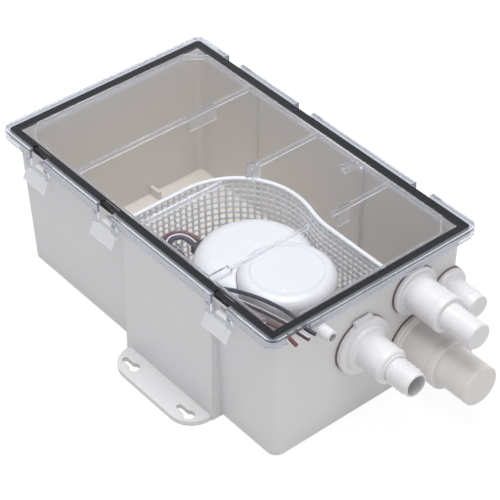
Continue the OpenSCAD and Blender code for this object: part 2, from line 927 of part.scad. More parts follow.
function spigot_l(z, flange_d, spigot_d) =
  flange_x(z, flange_d) - end_in(z - spigot_d / 2 - nut_rim) + nut_t;

// Barb ribs of the outlet, as radius and height pairs along the barb
function barb_rib_points(r, z0, i) =
  [[r, z0 + i * barb_pitch], [r + barb_rib, z0 + i * barb_pitch + barb_rib / 4],
    [r + barb_rib, z0 + i * barb_pitch + barb_rib], [r, z0 + (i + 0.7) * barb_pitch]];

module outlet_fitting() {
  x0 = flange_x(outlet_z, outlet_flange_d);
  bore_r = outlet_bore_d / 2;
  step_r = outlet_step_d / 2;
  barb_r = outlet_barb_d / 2;
  step_z = flange_t + collar_l;
  shoulder_z = flange_t + outlet_step_l;
  barb_z = shoulder_z + shoulder_l;
  spigot_len = spigot_l(outlet_z, outlet_flange_d, outlet_spigot_d) + nut_t;
  color([0.95, 0.95, 0.94])
    along_x(x0, outlet_y, outlet_z)
      difference() {
        union() {
          rotate_extrude($fn = 96)
            polygon(concat(
              [[bore_r / 2, 0], [outlet_flange_d / 2, 0], [outlet_flange_d / 2, flange_t]],
              arc(collar_d / 2 - collar_l / 2, flange_t + collar_l / 4, collar_l / 2, 0, 80, 5),
              [[step_r, step_z], [step_r, shoulder_z]],
              arc(step_r - shoulder_l / 2, shoulder_z, shoulder_l / 2, 15, 75, 4),
              [[barb_r + barb_rib, barb_z - shoulder_l / 3], [barb_r, barb_z - shoulder_l / 3]],
              [for (i = [0 : barb_n - 1]) for (p = barb_rib_points(barb_r, barb_z, i)) p],
              [[barb_r, outlet_l - barb_rib], [barb_r - barb_rib / 2, outlet_l], [bore_r / 2, outlet_l]]));
          bar(outlet_spigot_d, -spigot_len, spigot_len + flange_t / 2);
          translate([-key_tab_h, key_tab_y - key_tab_w / 2, 0])
            cube([key_tab_h - collar_d / 2, key_tab_w, flange_t]);
        }
        bar(outlet_bore_d, -spigot_len - over, spigot_len + outlet_l + 2 * over);
      }
}

module outlet_seal() {
  wall_seal(outlet_y, outlet_z, outlet_flange_d, outlet_spigot_d);
}

// Elbow screwed on the outlet's spigot inside the tub, with its tail pointing down to the hose
module outlet_elbow() {
  body_d = outlet_spigot_d + 2 * nut_rim + 2 * spigot_gap;
  face = end_in(outlet_z - body_d / 2);
  spigot_end = flange_x(outlet_z, outlet_flange_d) - nut_t
    - spigot_l(outlet_z, outlet_flange_d, outlet_spigot_d);
  color([0.9, 0.9, 0.88])
    difference() {
      union() {
        along_x(pipe_x, outlet_y, outlet_z)
          cylinder(d = body_d, h = face - pipe_x);
        translate([pipe_x, pipe_y, outlet_z])
          sphere(d = pipe_d + 2 * hose_t);
        translate([pipe_x, pipe_y, 0])
          bar(pipe_d + 2 * hose_t, hose_z1, outlet_z - hose_z1);
        translate([pipe_x, pipe_y, 0])
          bar(pipe_d, outlet_z - elbow_tail, elbow_tail);
      }
      translate([pipe_x, pipe_y, 0])
        bar(pipe_bore_d, outlet_z - elbow_tail - over, elbow_tail + over);
      along_x(pipe_x, outlet_y, outlet_z)
        cylinder(d = pipe_bore_d, h = outlet_spigot_d);
      along_x(spigot_end, outlet_y, outlet_z)
        cylinder(d = outlet_spigot_d, h = outlet_spigot_d);
      translate([pipe_x, pipe_y, outlet_z])
        sphere(d = pipe_bore_d);
    }
}

// Closed, stepped inlet: a first step of diameter d1 up to l1, then a second of diameter d2 to the end
module stepped_inlet(flange_d, spigot_d, spigot_len, d1, l1, d2, length) {
  score = fit_wall / 2;
  edge = fit_wall / 3;
  round_in = (d1 - d2) / 5;
  difference() {
    union() {
      rotate_extrude($fn = 96)
        polygon(concat(
          [[0, 0], [flange_d / 2, 0], [flange_d / 2, flange_t - edge], [flange_d / 2 - edge, flange_t],
            [d1 / 2 + fit_wall / 2, flange_t], [d1 / 2, flange_t + fit_wall / 2], [d1 / 2, l1 - 3 * fit_wall],
            [d1 / 2 + edge / 2, l1 - 3 * fit_wall + edge], [d1 / 2 + edge / 2, l1 - round_in - edge]],
          arc(d1 / 2 + edge / 2 - round_in, l1 - round_in, round_in, 0, 90, 4),
          [[d2 / 2 + edge, l1], [d2 / 2 + edge / 2, l1 + edge], [d2 / 2, l1 + (length - l1) / 3],
            [d2 / 2, length - edge], [d2 / 2 - edge, length], [0, length]]));
      bar(spigot_d, -spigot_len, spigot_len + flange_t / 2);
    }
    bar(spigot_d - 2 * fit_wall, -spigot_len - over, spigot_len + over + flange_t);
    bar(min(d1, spigot_d) - 2 * fit_wall, 0, l1 - fit_wall);
    bar(d2 - 2 * fit_wall, 0, length - fit_wall);
  }
}

module large_inlet_fitting() {
  color([0.88, 0.87, 0.86])
    along_x(flange_x(large_z, large_flange_d), large_y, large_z)
      stepped_inlet(large_flange_d, large_spigot_d, spigot_l(large_z, large_flange_d, large_spigot_d),
        large_step_d, large_l - large_end_l, large_end_d, large_l);
}

module large_inlet_seal() {
  wall_seal(large_y, large_z, large_flange_d, large_spigot_d);
}

module large_inlet_nut() {
  wall_nut(large_y, large_z, large_spigot_d);
}

module medium_inlet_fitting() {
  color([0.95, 0.95, 0.94])
    along_x(flange_x(medium_z, medium_flange_d), medium_y, medium_z)
      stepped_inlet(medium_flange_d, medium_spigot_d, spigot_l(medium_z, medium_flange_d, medium_spigot_d),
        medium_step_d, medium_l - medium_end_l, medium_end_d, medium_l);
}

module medium_inlet_seal() {
  wall_seal(medium_y, medium_z, medium_flange_d, medium_spigot_d);
}

module medium_inlet_nut() {
  wall_nut(medium_y, medium_z, medium_spigot_d);
}

module small_inlet_fitting() {
  neck = (small_flange_d - small_end_d) / 4;
  step_z = small_l - 3 * fit_wall;
  edge = fit_wall / 6;
  spigot_len = flange_x(small_z, small_flange_d) - end_in(small_z) + small_spigot_out;
  color([0.94, 0.94, 0.93])
    along_x(flange_x(small_z, small_flange_d), small_y, small_z)
      difference() {
        union() {
          rotate_extrude($fn = 96)
            polygon(concat(
              [[0, 0], [small_flange_d / 2, 0], [small_flange_d / 2, flange_t / 2]],
              arc(small_flange_d / 2 - neck, flange_t / 2, neck, 0, 80, 5),
              [[small_end_d / 2, flange_t + neck], [small_end_d / 2, step_z],
                [small_end_d / 2 - edge, step_z + edge], [small_end_d / 2 - 2 * edge, small_l - edge],
                [small_end_d / 2 - 3 * edge, small_l], [0, small_l]]));
          bar(small_spigot_d, -spigot_len, spigot_len + flange_t / 2);
        }
        bar(small_spigot_d - 2 * fit_wall, -spigot_len - over, spigot_len + over + small_l - fit_wall);
      }
}

module small_inlet_seal() {
  wall_seal(small_y, small_z, small_flange_d, small_spigot_d);
}

// Vent nipple, held by a collar inside the wall
module vent_nipple() {
  x0 = end_in(vent_z - vent_d / 2 - vent_collar) - vent_collar;
  length = end_out(vent_z) - x0 + vent_l;
  color([0.95, 0.95, 0.94])
    along_x(x0, vent_y, vent_z)
      difference() {
        union() {
          cylinder(d = vent_d + vent_collar / 4, h = length - vent_l + vent_collar);
          cylinder(d = vent_d, h = length - vent_collar / 4);
          cylinder(d = vent_d - vent_collar / 2, h = length);
          cylinder(d = vent_d + 2 * vent_collar, h = vent_collar);
        }
        translate([0, 0, -over])
          cylinder(d = vent_bore_d, h = length + 2 * over);
      }
}

// Hose between the pump's pipe and the outlet's elbow
module discharge_hose() {
  color([0.2, 0.2, 0.21])
    translate([pipe_x, pipe_y, 0])
      tube(pipe_d + 2 * hose_t, pipe_d, hose_z0, hose_z1 - hose_z0);
}

module hose_clamps() {
  hose_d = pipe_d + 2 * hose_t;
  inset = 1;
  color([0.75, 0.76, 0.78])
    for (z = [hose_z0 + inset, hose_z1 - inset - clamp_w])
      translate([pipe_x, pipe_y, z])
        difference() {
          union() {
            cylinder(d = hose_d + 2 * clamp_t, h = clamp_w);
            translate([-clamp_w, -hose_d / 2 - 3 * clamp_t, 0])
              cube([2 * clamp_w, 3 * clamp_t, clamp_w]);
          }
          translate([0, 0, -over])
            cylinder(d = hose_d, h = clamp_w + 2 * over);
        }
}

// Pump

// Outline of both lobes of the pump, grown by grow
module pump_outline(grow) {
  translate([motor_x, motor_y])
    circle(d = motor_d + 2 * grow, $fn = 96);
  translate([switch_x, switch_y])
    circle(d = switch_d + 2 * grow, $fn = 96);
}

// Slotted stand that the pump clips on, screwed to the tub's floor
module pump_base() {
  wall = shell_t;
  slot_z = shell_z - slot_h - wall;
  color([0.9, 0.9, 0.89])
    difference() {
      union() {
        translate([0, 0, floor_t])
          linear_extrude(shell_z - floor_t)
            difference() {
              pump_outline(-wall / 2);
              pump_outline(-1.5 * wall);
            }
        translate([0, 0, plate_z])
          linear_extrude(plate_t)
            pump_outline(-wall);
      }
      for (a = [-72 : slot_pitch_deg : 72])
        translate([motor_x, motor_y, slot_z])
          rotate(a)
            translate([motor_d / 4, -slot_w / 2, 0])
              cube([motor_d / 2, slot_w, slot_h]);
      for (a = [96 : slot_pitch_deg : 264])
        translate([switch_x, switch_y, slot_z])
          rotate(a)
            translate([switch_d / 4, -slot_w / 2, 0])
              cube([switch_d / 2, slot_w, slot_h]);
      for (p = screw_places)
        translate([p[0], p[1], 0])
          bar(screw_d + 2 * gap, floor_t, shell_z);
      pipe_room();
    }
}

// Room for the discharge pipe through the stand and the motor housing
module pipe_room() {
  along_x(motor_x, pipe_y, pipe_z)
    cylinder(d = pipe_d + 2 * gap, h = motor_d);
}

module base_screws() {
  color([0.78, 0.78, 0.8])
    for (p = screw_places)
      translate([p[0], p[1], plate_z + plate_t])
        difference() {
          union() {
            cylinder(d = screw_head_d, h = screw_head_h);
            translate([0, 0, -screw_l])
              cylinder(d = pilot_d, h = screw_l + screw_head_h / 2);
          }
          for (a = [0, 90])
            rotate(a)
              translate([-screw_head_d / 3, -screw_head_h / 5, screw_head_h / 2])
                cube([screw_head_d / 1.5, screw_head_h / 2.5, screw_head_h]);
        }
}

// Pump chamber with its intake eye and the straight discharge pipe
module volute() {
  color([0.25, 0.27, 0.32])
    difference() {
      union() {
        translate([motor_x, motor_y, 0]) {
          bar(volute_d, volute_z, volute_top - volute_z);
          for (a = [60, 180, 300])
            rotate(a)
              translate([volute_d / 2 - 0.7 * boss_d, 0, 0])
                bar(boss_d, plate_z + plate_t, volute_z + volute_wall / 2 - plate_z - plate_t);
        }
        along_x(motor_x, pipe_y, pipe_z)
          cylinder(d = pipe_d, h = pipe_x - pipe_d - motor_x + shell_t);
      }
      translate([motor_x, motor_y, 0]) {
        bar(chamber_d, volute_z + volute_wall, volute_top - volute_z - volute_wall - seal_h);
        bar(eye_d, volute_z - over, volute_wall + 2 * over);
        bar(seal_d, volute_top - seal_h - over, seal_h + 2 * over);
      }
      along_x(motor_x, pipe_y, pipe_z)
        cylinder(d = pipe_bore_d, h = pipe_x - motor_x);
    }
}

// Elbow that turns the discharge up to the hose
module discharge_elbow() {
  joint = pipe_x - pipe_d + shell_t;
  color([0.25, 0.27, 0.32])
    difference() {
      union() {
        along_x(joint, pipe_y, pipe_z)
          cylinder(d = pipe_d, h = pipe_x - joint);
        translate([pipe_x, pipe_y, pipe_z])
          sphere(d = pipe_d);
        translate([pipe_x, pipe_y, 0])
          bar(pipe_d, pipe_z, hose_z0 - pipe_z + 1.8 * clamp_w);
        translate([pipe_x, pipe_y, 0])
          bar(pipe_d + 2 * hose_t, hose_z0 - hose_t, hose_t);
      }
      along_x(joint - over, pipe_y, pipe_z)
        cylinder(d = pipe_bore_d, h = pipe_x - joint + over);
      translate([pipe_x, pipe_y, pipe_z])
        sphere(d = pipe_bore_d);
      translate([pipe_x, pipe_y, 0])
        bar(pipe_bore_d, pipe_z, hose_z0 - pipe_z + 1.8 * clamp_w + over);
    }
}

module impeller() {
  color([0.2, 0.2, 0.22])
    translate([motor_x, motor_y, impeller_z])
      difference() {
        union() {
          translate([0, 0, impeller_h - impeller_disc])
            cylinder(d = impeller_d, h = impeller_disc);
          cylinder(d = hub_d, h = impeller_h);
          for (i = [0 : blade_n - 1])
            rotate(i * 360 / blade_n)
              translate([hub_d / 4, -blade_t / 2, impeller_disc / 2])
                rotate(-20)
                  cube([impeller_d / 2 - hub_d / 4 - blade_t, blade_t, impeller_h - impeller_disc]);
        }
        translate([0, 0, impeller_h / 3])
          cylinder(d = shaft_d, h = impeller_h);
      }
}

module motor_shaft() {
  z0 = impeller_z + impeller_h / 3;
  z1 = can_z + can_h + cap_t - can_t - gap;
  color([0.75, 0.76, 0.78])
    translate([motor_x, motor_y, 0])
      bar(shaft_d, z0, z1 - z0);
}

module shaft_seal() {
  color([0.15, 0.15, 0.16])
    translate([motor_x, motor_y, 0])
      tube(seal_d, shaft_d + 2 * run_gap, volute_top - seal_h, seal_h);
}

module lower_bearing() {
  color([0.72, 0.58, 0.36])
    translate([motor_x, motor_y, 0])
      tube(bearing_d, shaft_d + 2 * run_gap, can_z + can_bottom_t, bearing_h);
}

module upper_bearing() {
  color([0.72, 0.58, 0.36])
    translate([motor_x, motor_y, 0])
      tube(bearing_d, shaft_d + 2 * run_gap, can_z + can_h - bearing_h, bearing_h);
}

module motor_can() {
  color([0.6, 0.62, 0.65])
    translate([motor_x, motor_y, 0])
      difference() {
        bar(can_d, can_z, can_h);
        bar(can_d - 2 * can_t, can_z + can_bottom_t + bearing_h, can_h);
        bar(bearing_d, can_z + can_bottom_t, can_h);
        bar(shaft_d + 2 * slide_gap, can_z - over, can_h);
      }
}

module motor_end_cap() {
  z1 = can_z + can_h;
  color([0.2, 0.2, 0.22])
    translate([motor_x, motor_y, 0])
      difference() {
        union() {
          bar(can_d, z1, cap_t);
          tube(bearing_boss_d, bearing_d, z1 - bearing_h, bearing_h + cap_t / 2);
        }
        bar(shaft_d + 2 * slide_gap, z1 - over, cap_t - can_t + over);
      }
}

module motor_magnets() {
  outer = can_d / 2 - can_t;
  half_gap = 6;
  color([0.25, 0.25, 0.27])
    translate([motor_x, motor_y, armature_z - (magnet_h - armature_h) / 2])
      for (s = [-1, 1])
        intersection() {
          difference() {
            cylinder(r = outer, h = magnet_h);
            translate([0, 0, -over])
              cylinder(r = outer - magnet_t, h = magnet_h + 2 * over);
          }
          translate([-outer, s > 0 ? half_gap : -half_gap - outer, -over])
            cube([2 * outer, outer, magnet_h + 2 * over]);
        }
}

module armature() {
  slot = 3;
  depth = 8;
  color([0.55, 0.35, 0.22])
    translate([motor_x, motor_y, armature_z])
      difference() {
        cylinder(d = armature_d, h = armature_h);
        translate([0, 0, -over])
          cylinder(d = shaft_d, h = armature_h + 2 * over);
        for (i = [0 : armature_slots - 1])
          rotate(i * 360 / armature_slots)
            translate([armature_d / 2 - depth, -slot / 2, -over])
              cube([depth + over, slot, armature_h + 2 * over]);
      }
}

module commutator() {
  color([0.72, 0.45, 0.3])
    translate([motor_x, motor_y, 0])
      tube(commutator_d, shaft_d, armature_z + armature_h + gap, commutator_h);
}

// Two brush blocks that stand from the can's wall to the commutator
module motor_brushes() {
  reach = can_d / 2 - can_t;
  z0 = armature_z + armature_h + gap + (commutator_h - brush_h) / 2;
  start = commutator_d / 2 + gap;
  color([0.18, 0.18, 0.18])
    for (s = [0, 180])
      translate([motor_x, motor_y, z0])
        rotate(s)
          translate([start, -brush_w / 2, 0])
            cube([reach - start - gap, brush_w, brush_h]);
}

// Profile of a domed cover: outer radius r, from z0 to z1, rounded by round_r at the top
function cover_points(r, z0, z1, round_r) =
  concat([[0, z0], [r, z0]], arc(r - round_r, z1 - round_r, round_r, 0, 84, 8), [[0, z1 + 0.02 * r]]);

module motor_housing() {
  top = floor_t + pump_h;
  inner_top = top - shell_t;
  color([0.96, 0.96, 0.96])
    difference() {
      translate([motor_x, motor_y, 0])
        rotate_extrude($fn = 96)
          polygon(cover_points(motor_d / 2, shell_z, top, top_round));
      translate([motor_x, motor_y, 0])
        rotate_extrude($fn = 96)
          polygon(cover_points(motor_d / 2 - shell_t, shell_z - over, inner_top, top_round - shell_t));
      translate([motor_x, motor_y, 0])
        tube(label_d, label_d - 2 * label_depth, top - label_depth, over + label_depth);
      pipe_room();
    }
}

module switch_housing() {
  top = floor_t + switch_h;
  inner_top = top - shell_t;
  color([0.95, 0.95, 0.95])
    difference() {
      translate([switch_x, switch_y, 0])
        rotate_extrude($fn = 96)
          polygon(cover_points(switch_d / 2, shell_z, top, dome_round));
      difference() {
        translate([switch_x, switch_y, 0])
          rotate_extrude($fn = 96)
            polygon(cover_points(switch_d / 2 - shell_t, shell_z - over, inner_top, dome_round - shell_t));
        translate([motor_x, motor_y, 0])
          bar(motor_d + 2 * gap + 2 * shell_t, 0, tub_h);
        translate([stem_x, stem_y, 0])
          bar(stem_d + 2 * shell_t, stem_top, tub_h);
      }
      translate([motor_x, motor_y, 0])
        bar(motor_d + 2 * gap, 0, tub_h);
      grommet_block();
    }
}

// Block of the wire grommet, through the switch housing's rear wall
module grommet_block() {
  translate([grommet_x, grommet_y - grommet_w / 2, grommet_z - grommet_h / 2])
    cube([grommet_l, grommet_w, grommet_h]);
}

// Hollow stem that the float rides on, hung from the housing's roof
module switch_stem() {
  color([0.85, 0.85, 0.84])
    translate([stem_x, stem_y, 0])
      difference() {
        bar(stem_d, stem_z, stem_top - stem_z);
        bar(stem_bore_d, stem_z + shell_t, stem_top - stem_z);
      }
}

module reed_switch() {
  color([0.35, 0.45, 0.4])
    translate([stem_x, stem_y, 0])
      bar(stem_bore_d, stem_z + shell_t + float_travel, reed_l);
}

module float() {
  color([0.9, 0.75, 0.3])
    translate([stem_x, stem_y, 0])
      difference() {
        tube(float_d, stem_d + 2 * slide_gap, float_z, float_h);
        tube(float_magnet_d, stem_d + 2 * slide_gap - over, float_z + (float_h - float_magnet_h) / 2,
          float_magnet_h);
      }
}

module float_magnet() {
  color([0.3, 0.3, 0.32])
    translate([stem_x, stem_y, 0])
      tube(float_magnet_d, stem_d + 2 * slide_gap, float_z + (float_h - float_magnet_h) / 2, float_magnet_h);
}

module float_stop() {
  color([0.75, 0.76, 0.78])
    translate([stem_x, stem_y, 0])
      tube(stop_d, stem_d, float_z - gap - stop_h, stop_h);
}

// Wires

// Rubber grommet that closes the housing round the three wires
module wire_grommet() {
  color([0.3, 0.3, 0.32])
    grommet_block();
}

// Clear tie round the three wires
module cable_tie() {
  color([0.85, 0.87, 0.88, 0.6])
    translate(tie_at)
      rotate([90, 0, 90])
        linear_extrude(tie_w)
          difference() {
            square([tie_inner_w + 2 * tie_t, wire_d + 2 * gap + 2 * tie_t], center = true);
            square([tie_inner_w, wire_d + 2 * gap], center = true);
          }
}

// Point of a smooth curve through the route's points, at parameter u
function route_point(p, u) =
  let (i = min(floor(u), len(p) - 2), t = u - i,
    a = p[max(i - 1, 0)], b = p[i], c = p[i + 1], d = p[min(i + 2, len(p) - 1)])
  0.5 * (2 * b + (c - a) * t + (2 * a - 5 * b + 4 * c - d) * t * t + (3 * b - a - 3 * c + d) * t * t * t);

function unit(v) = v / norm(v);

// Ring of points round the route at u, square to it
function ring(p, u, d, n) =
  let (e = 0.02, t = unit(route_point(p, min(u + e, len(p) - 1)) - route_point(p, max(u - e, 0))),
    side = unit(cross(t, [0, 0, 1])), up = cross(side, t), o = route_point(p, u))
  [for (k = [0 : n - 1]) o + d / 2 * (cos(360 * k / n) * side + sin(360 * k / n) * up)];

module wire(route) {
  n = wire_sides;
  m = wire_rings;
  points = [for (i = [0 : m - 1]) each ring(route, i * (len(route) - 1) / (m - 1), wire_d, n)];
  sides = [for (i = [0 : m - 2], k = [0 : n - 1])
    each [[i * n + k, i * n + (k + 1) % n, (i + 1) * n + (k + 1) % n],
      [i * n + k, (i + 1) * n + (k + 1) % n, (i + 1) * n + k]]];
  start = [for (k = [1 : n - 2]) [0, k + 1, k]];
  finish = [for (k = [1 : n - 2]) [(m - 1) * n, (m - 1) * n + k, (m - 1) * n + k + 1]];
  polyhedron(points, concat(sides, start, finish));
}

module black_wire() {
  color([0.1, 0.1, 0.12])
    wire(black_route);
}

module brown_wire() {
  color([0.4, 0.18, 0.14])
    wire(brown_route);
}

module striped_wire() {
  color([0.6, 0.4, 0.35])
    wire(striped_route);
}

tub();
rim_gasket();
lid();
latch_near_rear();
latch_near_middle();
latch_near_front();
latch_far_rear();
latch_far_middle();
latch_far_front();
filter_screen();
outlet_fitting();
outlet_seal();
outlet_elbow();
large_inlet_fitting();
large_inlet_seal();
large_inlet_nut();
medium_inlet_fitting();
medium_inlet_seal();
medium_inlet_nut();
small_inlet_fitting();
small_inlet_seal();
vent_nipple();
discharge_hose();
hose_clamps();
pump_base();
base_screws();
volute();
discharge_elbow();
impeller();
motor_shaft();
shaft_seal();
lower_bearing();
upper_bearing();
motor_can();
motor_end_cap();
motor_magnets();
armature();
commutator();
motor_brushes();
motor_housing();
switch_housing();
switch_stem();
reed_switch();
float();
float_magnet();
float_stop();
wire_grommet();
cable_tie();
black_wire();
brown_wire();
striped_wire();
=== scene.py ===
"""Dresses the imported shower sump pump: wires, fine filter screen, label disc, finishes and studio."""

import json
import logging
import math
from dataclasses import dataclass
from enum import Enum

import bmesh
import bpy
from mathutils import Matrix, Vector

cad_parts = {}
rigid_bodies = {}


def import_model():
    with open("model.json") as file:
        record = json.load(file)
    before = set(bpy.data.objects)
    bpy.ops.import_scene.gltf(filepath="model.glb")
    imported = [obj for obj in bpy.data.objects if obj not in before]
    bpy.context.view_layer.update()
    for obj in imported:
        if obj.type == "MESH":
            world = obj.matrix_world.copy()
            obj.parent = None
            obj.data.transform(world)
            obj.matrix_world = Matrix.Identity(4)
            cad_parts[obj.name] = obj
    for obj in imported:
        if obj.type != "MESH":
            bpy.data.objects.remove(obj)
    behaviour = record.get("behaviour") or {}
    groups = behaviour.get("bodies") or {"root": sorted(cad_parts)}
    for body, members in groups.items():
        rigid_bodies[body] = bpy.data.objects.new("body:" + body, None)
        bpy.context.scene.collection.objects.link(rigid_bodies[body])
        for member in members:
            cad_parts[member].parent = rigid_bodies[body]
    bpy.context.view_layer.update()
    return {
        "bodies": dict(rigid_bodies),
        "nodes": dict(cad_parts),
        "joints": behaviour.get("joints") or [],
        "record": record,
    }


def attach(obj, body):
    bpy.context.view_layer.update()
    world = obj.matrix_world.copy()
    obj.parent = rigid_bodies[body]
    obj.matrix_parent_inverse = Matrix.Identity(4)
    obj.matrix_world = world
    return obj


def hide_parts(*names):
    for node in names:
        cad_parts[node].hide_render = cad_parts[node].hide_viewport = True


LOG = logging.getLogger("shower_sump")
MM = 0.001
# Clouds about 22 mm wide let a moulded skin's tone and gloss wander, less to light than to dark
CLOUD_SCALE = 45.0
LIGHTER_SHARE = 0.4
# A pattern's scale for a grain of 1 mm
NOISE_PER_METRE = 1000
# The paper's fibre is about 1.1 mm long
FIBRE_SCALE = 900.0
FIBRE_DEPTH = 0.02 * MM
WHITE_LIGHT = (1.0, 1.0, 1.0, 1.0)
# Edges flatter than this are shaded smooth, and a face that looks higher than this is a top
SMOOTH_ANGLE = math.radians(35)
UPWARD = 0.5

# Routes of the wires' middles, in millimetres, from the grommet to the bare ends in the notch
BLACK_ROUTE = (
    (3, -39.4, 78), (-4, -39.4, 79), (-9.4, -41.6, 80), (-11.6, -47, 80.5), (-9.4, -52.4, 81),
    (-4, -54.6, 81.5), (4, -54.6, 82), (12, -56, 83), (25, -62, 86), (35, -66.5, 88.5),
    (45, -69.8, 91), (58, -70.4, 94.5), (70, -67.5, 97.5), (82, -62.8, 100),
    (100, -58.5, 103.5), (121, -57, 108), (138, -59.5, 113.5), (148, -63.3, 118.4),
    (153, -64.2, 118.8), (158, -64.1, 118.8), (162, -63.6, 118.6), (166, -62.6, 118.3),
)
STRIPED_ROUTE = (
    (3, -36.2, 78), (-4, -36.2, 79), (-11.6, -39.4, 80), (-14.8, -47, 80.5),
    (-11.6, -54.6, 81), (-4, -57.8, 81.5), (4, -57.8, 82), (12, -59.3, 83), (25, -65.5, 86),
    (35, -70, 88.5), (45, -73.4, 91.5), (58, -74, 95), (70, -73.5, 98), (82, -72, 100.5),
    (100, -70, 104.5), (121, -69.3, 110), (138, -70, 115), (148, -71, 118.4),
    (153, -71, 118.8), (158, -70.7, 118.8), (162, -70.1, 118.6), (167, -69.3, 118.3),
)
BROWN_ROUTE = (
    (3, -33, 78), (-4, -33, 79), (-13.9, -37.1, 80), (-18, -47, 80.5), (-13.9, -56.9, 81),
    (-4, -61, 81.5), (4, -61, 82), (12, -62.6, 83), (25, -69, 86), (35, -73.5, 88.5),
    (45, -77, 91.5), (58, -78, 95), (70, -78, 98), (82, -77.5, 100.5), (100, -77, 105),
    (121, -76.8, 110.5), (138, -77.3, 115.3), (148, -78, 118.4), (153, -78.6, 118.8),
    (158, -78.9, 118.8), (162, -79.2, 118.6), (166, -79.5, 118.3),
)

Colour = tuple[float, float, float, float]
Point = tuple[float, float, float]


class Tone(Enum):
    """Colours of the real surfaces, as sRGB hex."""

    WHITE_ABS = "DCDADC"
    # Painted light: the lighter cream of the tub's inside floor, which faces up
    CREAM_FLOOR = "E2DBCF"
    # Painted shade: the darker, warmer tone of the tub's inside walls
    WARM_WALL = "D4CCC4"
    CLEAR_SAN = "FAFBFD"
    FROSTED_SAN = "EAEAEC"
    PUMP_WHITE = "EAE8E9"
    SCREEN_WHITE = "ECECEC"
    FITTING_WHITE = "DEDCDF"
    FITTING_GREY = "DBD7D5"
    LABEL_WHITE = "ECECEE"
    GASKET_BLACK = "19191B"
    SEAL_BROWN = "6E5F57"
    RUBBER_BLACK = "1E1E20"
    WIRE_BLACK = "272A38"
    # Painted reflection: the dark blue tone that clear plastic mirrors
    EDGE_BLUE = "5A6070"
    THICK_BLUE = "AEBBDD"
    # Painted reflection: the bluish band along the clear lid's edges
    BORDER_BLUE = "E2E5EC"
    WIRE_BROWN = "693A38"
    WIRE_DARK = "472D31"
    STRIPE = "D9D5E2"
    COPPER = "C07A52"
    DULL_COPPER = "8A5A45"
    STEEL = "BDBFC2"
    ZINC = "A9ADB0"
    BRONZE = "B08A55"
    FERRITE = "3B3A3C"
    IRON = "74757A"
    FOAM_BLACK = "2C2C30"
    CAPSULE_GREEN = "CFE3D6"


def linear(tone: Tone) -> Colour:
    """Turns a colour from sRGB hex to linear.

    Args:
        tone: The colour as the eye sees it.

    Returns:
        Red, green, blue and alpha for a shader's socket.
    """
    parts = [int(tone.value[i : i + 2], 16) / 255 for i in (0, 2, 4)]
    red, green, blue = (c / 12.92 if c <= 0.04045 else ((c + 0.055) / 1.055) ** 2.4 for c in parts)
    return red, green, blue, 1.0


def add_node(
    tree: bpy.types.NodeTree,
    kind: str,
    values: dict[int | str, object] | None = None,
    links: dict[int | str, bpy.types.NodeSocket] | None = None,
    **settings: object,
) -> bpy.types.Node:
    """Adds one shader node.

    Args:
        tree: The node tree it goes into.
        kind: The node's type, without the words ShaderNode.
        values: Values for its inputs, by name or number.
        links: Sockets that feed its inputs, by name or number.
        settings: The node's own settings.

    Returns:
        The new node.
    """
    node = tree.nodes.new("ShaderNode" + kind)
    for name, value in settings.items():
        setattr(node, name, value)
    for key, value in (values or {}).items():
        node.inputs[key].default_value = value
    for key, socket in (links or {}).items():
        tree.links.new(socket, node.inputs[key])
    return node


def new_material(name: str) -> tuple[bpy.types.Material, bpy.types.NodeTree, bpy.types.Node]:
    """Makes an empty node material.

    Args:
        name: The material's name.

    Returns:
        The material, its tree and its output node.
    """
    made = bpy.data.materials.new(name)
    made.use_nodes = True
    tree = made.node_tree
    tree.nodes.clear()
    return made, tree, add_node(tree, "OutputMaterial")


